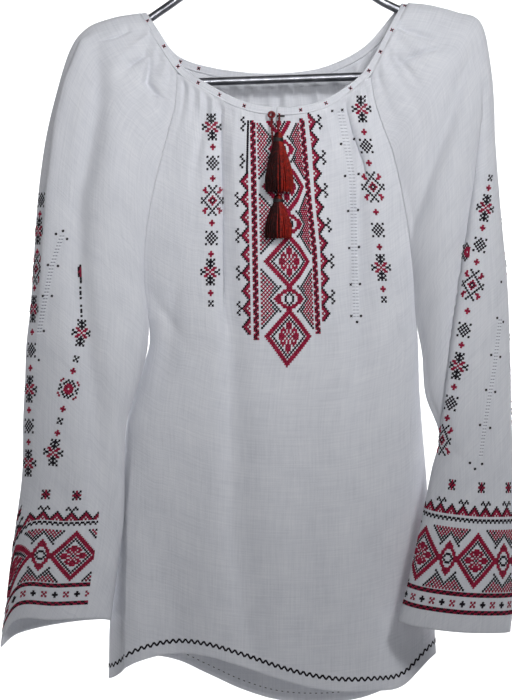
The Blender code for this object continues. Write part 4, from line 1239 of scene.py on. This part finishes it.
def repeated(chart, first, count):
    """A stretch of a chart whose rows repeat, "count" stitches from number "first"."""
    return ["".join(row[(first + index) % len(row)] for index in range(count)) for row in chart]


for name, cuff in CUFFS.items():
    arms = []
    work_columns(arms, ground[name]["tree"], wrapped_corner, SLEEVE_COLUMNS[name], 1.85,
                 cuff["knots"], 2.0)
    spot, run, ring = hem_spot(name, FRIEZE_LEVEL)
    front_x = ring[:len(run) // 2, 0]
    order = np.argsort(front_x)
    flower = float(np.interp(cuff["flower"], front_x[order], run[order]))
    cell, rise = cuff["cell"], cuff["rise"]
    first = math.ceil((cuff["margin"] - flower) / cell)
    count = int((run[-1] - cuff["margin"] - flower) / cell) - first

    def band_work(chart, first_column, middle):
        """Work a chart on the cuff, its middle row at this height above the hem."""
        top = middle + len(chart) / 2 * rise
        work(arms, chart, lambda column, row: spot(
            flower + (first_column + column - 0.5) * cell, top - row * rise))

    band_work(turned([frieze_row(row) for row in range(first, first + count)]), first,
              cuff["frieze"])
    for centre in range(-5 * HALF_REPEAT, 5 * HALF_REPEAT + 1, 2 * HALF_REPEAT):
        start = centre - len(FILLING_HALF) + 1
        kept = slice(max(0, first - start), max(0, first + count - start))
        rows = [row[cuff["trim"]:] for row in FILLING[kept]]
        if rows:
            away = (FILLING_FROM + len(rows[0]) / 2) * rise
            band_work(turned(rows), start + kept.start, cuff["frieze"] + away)
            band_work(turned(flipped(rows)), start + kept.start, cuff["frieze"] - away)
    for chart, middle in ((BRAID, cuff["braids"][0]), (BRAID, cuff["braids"][1]),
                          (CROSSES, cuff["crosses"]), (WAVE, cuff["wave"]),
                          (turned(TOOTH), cuff["teeth"])):
        band_work(repeated(chart, first, count), first, middle)
    # Horns stand on every second tooth, and stars in a row above them.
    for index in range(first, first + count - 6):
        if index % (2 * len(TOOTH)) == 1:
            band_work(turned(HORNS), index, cuff["teeth"] + 3.4 * rise)
        if (index + 2 - cuff["first_star"]) % cuff["star_step"] == 0 and index > first + 6:
            band_work(MOTIFS["star"], index, cuff["stars"])
    if name == "right_sleeve":
        for motif, middle in OUTER_COLUMN:
            chart = MOTIFS[motif]
            work(arms, chart, lambda column, row: spot(
                run[len(run) // 2] + OUTER_REACH + (column - len(chart[0]) / 2) * 1.8,
                middle + (len(chart) / 2 - row) * MOTIF_DROP))
    stitched(name + "_embroidery", arms)

# ---------------------------------------------------------------- Hems
# The hems are turned up and held by a zigzag of black thread; on the back its reverse shows
# inside as a row of short stitches.  Single crosses of crimson sit along the neckband.
# The zigzag's middle lies at this level above the edge, and its points lie a reach above and
# below it.  The stitches inside have a level of their own.
ZIGZAG = {"level": 12.6, "reach": 2.1, "pitch": 3.25, "thread": 1.9}
REVERSE = {"level": 9.3, "length": 2.0, "pitch": 5.8, "thread": 1.2}
hem_arms = []
for name in ("front", "back"):
    spot, run, _ = hem_spot(name, ZIGZAG["level"])
    peaks = [spot(along, ZIGZAG["level"] + ZIGZAG["reach"] * (1 if index % 2 else -1))
             for index, along in enumerate(np.arange(1.5, run[-1] - 1.0, ZIGZAG["pitch"]))]
    for start, end in zip(peaks, peaks[1:]):
        hem_arms.append((start[0], end[0], unit(start[1] + end[1]), "k", 0.0, ZIGZAG["thread"]))
spot, run, _ = hem_spot("back", REVERSE["level"])
for along in np.arange(20.0, run[-1] - 12.0, REVERSE["pitch"]):
    start, end = (spot(place, REVERSE["level"]) for place in (along, along + REVERSE["length"]))
    hem_arms.append((start[0], end[0], -start[1], "k", -0.15, REVERSE["thread"]))
# The band's crosses: X and drop of each, the last two on its far side.
BAND_CROSSES = ((-132, 174.5), (-114, 198), (-98.5, 217.5), (-79, 237), (-58, 249.5),
                (-32, 259), (26, 261.5), (51, 253.5), (75, 238), (96.5, 223), (111, 205.5),
                (123.5, 184), (137.5, 161), (-96, 213), (-74, 213))
CROSS_REACH = 1.45          # half a cross's width and height
band_middle = band_low + upward * (BAND_WIDTH / 2)
toward = (LEVEL - EYE[1]) / (band_middle[:, 1] - EYE[1])
seen_x = EYE[0] + (band_middle[:, 0] - EYE[0]) * toward
seen_drop = -EYE[2] - (band_middle[:, 2] - EYE[2]) * toward
for number, (x, drop) in enumerate(BAND_CROSSES):
    side = 1 if number < len(BAND_CROSSES) - 2 else -1
    # The nearest place of the band as the front view shows it, on this side of the neck.
    miss = np.hypot(seen_x - x, seen_drop - drop) + np.where(band_middle[:, 1] * side > 8, 99, 0)
    at = int(np.argmin(miss))
    out = facing[at] * side
    middle = band_middle[at] + out * (BAND_THICKNESS / 2 - CLOTH / 2 - 0.1)
    for slant, lift in ((1, 0.0), (-1, OVER_ARM)):
        reach = (band_way[at] + upward[at] * slant) * CROSS_REACH
        ends = (middle + reach * slant, middle - reach * slant)
        # Each arm is crimson with a black middle over it.
        hem_arms.append((ends[0], ends[1], out, "r", lift, ARM_WIDTH))
        hem_arms.append(((ends[0] * 3 + ends[1]) / 4, (ends[0] + ends[1] * 3) / 4, out, "k",
                         lift + 0.1, ARM_WIDTH))
stitched("hem_and_neckband_stitching", hem_arms)

# ---------------------------------------------------------------- Drawn-thread lines
# On the front and on each sleeve some threads are drawn out of the linen and the rest are
# bundled, which leaves a ladder of small openings down the cloth.  The openings are dark slots
# between white bundles of thread.
LADDER_PITCH = 3.3
SLOT_SHARES = (0.08, 0.3, 0.5)      # of the ladder's width, from its middle outwards
RUNG_SHARES = (0.0, 0.3, 0.6)
SLOT_LIFT = -ARM_HEIGHT + 0.2       # so that a slot barely stands out of the linen
RUNG_LIFT = -0.1
RUNG_THREAD = 1.0
# Each ladder: its line of (drop, X), its width, and half the height of a slot.
LADDERS = {
    "front": (((262, 65.5), (300, 72.5), (325, 76.7), (360, 78.4), (398, 79), (434, 80),
               (468, 81)), 6.0, 0.45),
    "left_sleeve": (((386, -213), (400, -218), (417, -223.5), (440, -228), (459, -231.5),
                     (482, -235.6)), 4.4, 0.8),
    "right_sleeve": (((470, 225), (520, 219), (555, 213), (585, 208.5), (608, 205.5)), 3.6, 0.7),
}
# The openings are in shade, so they take a dull grey; linen thread is matt with a soft edge.
floss["s"], tree, shader = new_material(
    "shade_in_drawn_thread_openings", "#7e808e", 0.95, grain=0.5,
    stops=((0.3, "#666879"), (0.7, "#8e909e")))
floss["w"], tree, shader = new_material("white_linen_thread", "#e4e6ec", 0.7, grain=1.5,
                                        relief=0.1)
shader.inputs["Sheen Weight"].default_value = 0.15
ladder_arms = []
for name, (table, width, half_slot) in LADDERS.items():
    tree = ground[name]["tree"]
    for drop in np.arange(table[0][0], table[-1][0], LADDER_PITCH):
        for side in (-1, 1):
            slot, rung = ([laid(tree, read(table, level) + side * share * width, level)
                           for share in shares]
                          for level, shares in ((drop, SLOT_SHARES),
                                                (drop + LADDER_PITCH / 2, RUNG_SHARES)))
            if any(point is None for point in slot + rung):
                continue
            for line, letter, lift, thread in ((slot, "s", SLOT_LIFT, half_slot * 2),
                                               (rung, "w", RUNG_LIFT, RUNG_THREAD)):
                for inner, outer in zip(line, line[1:]):
                    ladder_arms.append((inner[0], outer[0], unit(inner[1] + outer[1]), letter,
                                        lift, thread))
stitched("drawn_thread_lines", ladder_arms, "ws")

# ---------------------------------------------------------------- Hanger
# One steel tube bent into a closed loop, two sloping arms with rounded ends and a bar below,
# and a hook of rod set into its top.  Both are chrome plated.
TUBE_RADIUS = 4.25
BEND_REACH = 16.0           # the longest stretch of tube that a bend takes on each side
BEND_SHARE = 0.45           # share of that stretch that is bent
HOOK_ROD_RADIUS = 2.5
HOOK_RADIUS = 19.5          # centre line of the hook's bend
HOOK_SWEEP = (-10, 230)     # degrees, from its open end over the top to its neck
# The neck below the bend: X, and how far below the bend's lowest point.
HOOK_NECK = ((6.0, 3.0), (2.0, 6.0), (0.5, 9.0), (0.0, 16.0))
# Corners of the loop, X and drop, from the foot of the hook round by the left.
HANGER_LOOP = (
    (0, 78), (-12, 84), (-60, 118), (-108, 152.9), (-130, 168), (-147, 172),
    (-170, 178.4), (-184, 185), (-194.8, 197.8), (-199.6, 213), (-192, 227), (-180, 232.5),
    (-150, 232), (150, 221.5), (182, 220), (195, 216), (202.4, 206), (202.8, 194),
    (197.5, 181.2), (180, 170.6), (160, 164.3), (142, 160.1), (126, 157), (108, 148.4),
    (60, 115.5), (12, 83),
)
# Polished chrome in a dim room: dark, with a hard pale line along it.
chrome, tree, shader = new_material(
    "chrome_plated_steel_polished", "#77787c", 0.36, 1.0, grain=0.09, detail=5.0, relief=0.02,
    stops=((0.35, "#74757a"), (0.65, "#96979e")))
loop = np.array([(x, 0.0, -drop) for x, drop in HANGER_LOOP])
bends = []
for before, corner, after in zip(np.roll(loop, 1, axis=0), loop, np.roll(loop, -1, axis=0)):
    ease = BEND_SHARE * min(np.linalg.norm(corner - before), np.linalg.norm(after - corner),
                            BEND_REACH)
    start = corner + unit(before - corner) * ease
    end = corner + unit(after - corner) * ease
    for share in np.linspace(0, 1, 5):
        bends.append(start * (1 - share) ** 2 + corner * 2 * share * (1 - share)
                     + end * share ** 2)
hanger_tube = piece("hanger_tube", rods("hanger_tube", [bends], TUBE_RADIUS, 18, closed=True),
                    chrome)
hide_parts("hanger_frame")
centre_drop = HOOK_RADIUS - HOOK_ROD_RADIUS
hook = [(-HOOK_RADIUS * math.cos(angle), 0.0, HOOK_RADIUS * math.sin(angle) - centre_drop)
        for angle in np.radians(np.linspace(*HOOK_SWEEP, 33))]
hook += [(x, 0.0, -centre_drop - HOOK_RADIUS - below) for x, below in HOOK_NECK]
hook.append((0.0, 0.0, -HANGER_LOOP[0][1] + TUBE_RADIUS - 0.5))
hanger_hook = piece("hanger_hook_rod", rods("hanger_hook_rod", [hook], HOOK_ROD_RADIUS, 14),
                    chrome)
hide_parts("hanger_hook")

# ---------------------------------------------------------------- Floor and light
# White studio paper lies as a pale floor and curves up into a wall.  The key light stands high
# on the right, a weaker fill stands beside the camera, and two more light the wall.
FLOOR_DROP = 985.0
PAPER_WIDTH = 8.0           # metres, as its curve is: distance behind the shirt, and height
PAPER_CURVE = ((-3.4, 0.0), (1.0, 0.0), (1.25, 0.02), (1.5, 0.09), (1.72, 0.2), (1.9, 0.37),
               (2.02, 0.6), (2.08, 0.9), (2.1, 1.3), (2.1, 4.2))
# Matt paper: it scatters light evenly, and glows a little so that it stays white.
paper, tree, shader = new_material("studio_paper_white", "#fbfbfc", 0.9, grain=0.06, relief=0.1)
shader.inputs["Emission Color"].default_value = linear("#ffffff")
shader.inputs["Emission Strength"].default_value = 0.12
# Seen from behind the wall is clear, so that it never hides the shirt's back.
behind = add_node(tree, "NewGeometry").outputs["Backfacing"]
clear = add_node(tree, "BsdfTransparent").outputs[0]
facing_in = add_node(tree, "MixShader", inputs={0: behind, 1: shader.outputs[0], 2: clear})
tree.links.new(facing_in.outputs[0], tree.nodes["Material Output"].inputs["Surface"])
shape = bmesh.new()
line = [shape.verts.new((-PAPER_WIDTH / 2, depth, height - FLOOR_DROP * MM))
        for depth, height in PAPER_CURVE]
edges = [shape.edges.new(pair) for pair in zip(line, line[1:])]
moved = bmesh.ops.extrude_edge_only(shape, edges=edges)["geom"]
bmesh.ops.translate(shape, vec=(PAPER_WIDTH, 0.0, 0.0),
                    verts=[item for item in moved if isinstance(item, bmesh.types.BMVert)])
bmesh.ops.recalc_face_normals(shape, faces=shape.faces)
floor_mesh = bpy.data.meshes.new("studio_floor")
shape.to_mesh(floor_mesh)
shape.free()
floor_mesh.shade_smooth()
if floor_mesh.polygons[0].normal.z < 0:
    floor_mesh.flip_normals()
floor = bpy.data.objects.new("studio_floor", floor_mesh)
floor_mesh.materials.append(paper)
bpy.context.scene.collection.objects.link(floor)

# Each light: where it stands and what it points at, in metres, its size, power and spread.
LIGHTS = {"key": ((0.80, -1.90, 0.74), (-0.02, 0.0, -0.24), 0.5, 2.6, 54),
          "fill": ((-0.10, -2.80, 0.10), (0.0, 0.0, -0.20), 0.4, 0.42, 22),
          "wall_left": ((-1.6, 0.7, 0.3), (0.2, 2.1, -0.5), 1.0, 20.0, 130),
          "wall_right": ((1.6, 0.7, 0.3), (-0.2, 2.1, -0.5), 1.0, 20.0, 130)}
for name, (where, at, size, power, spread) in LIGHTS.items():
    lamp = bpy.data.lights.new(name, "AREA")
    lamp.shape = "DISK"
    lamp.size = size
    lamp.energy = power
    lamp.spread = math.radians(spread)
    holder = bpy.data.objects.new(name, lamp)
    holder.location = where
    holder.rotation_euler = (Vector(at) - Vector(where)).to_track_quat("-Z", "Y").to_euler()
    bpy.context.scene.collection.objects.link(holder)
world = bpy.data.worlds.new("studio")
world.use_nodes = True
world.node_tree.nodes["Background"].inputs["Color"].default_value = linear("#f4f6fb")
world.node_tree.nodes["Background"].inputs["Strength"].default_value = 0.1
bpy.context.scene.world = world
bpy.context.scene.view_settings.view_transform = "Standard"
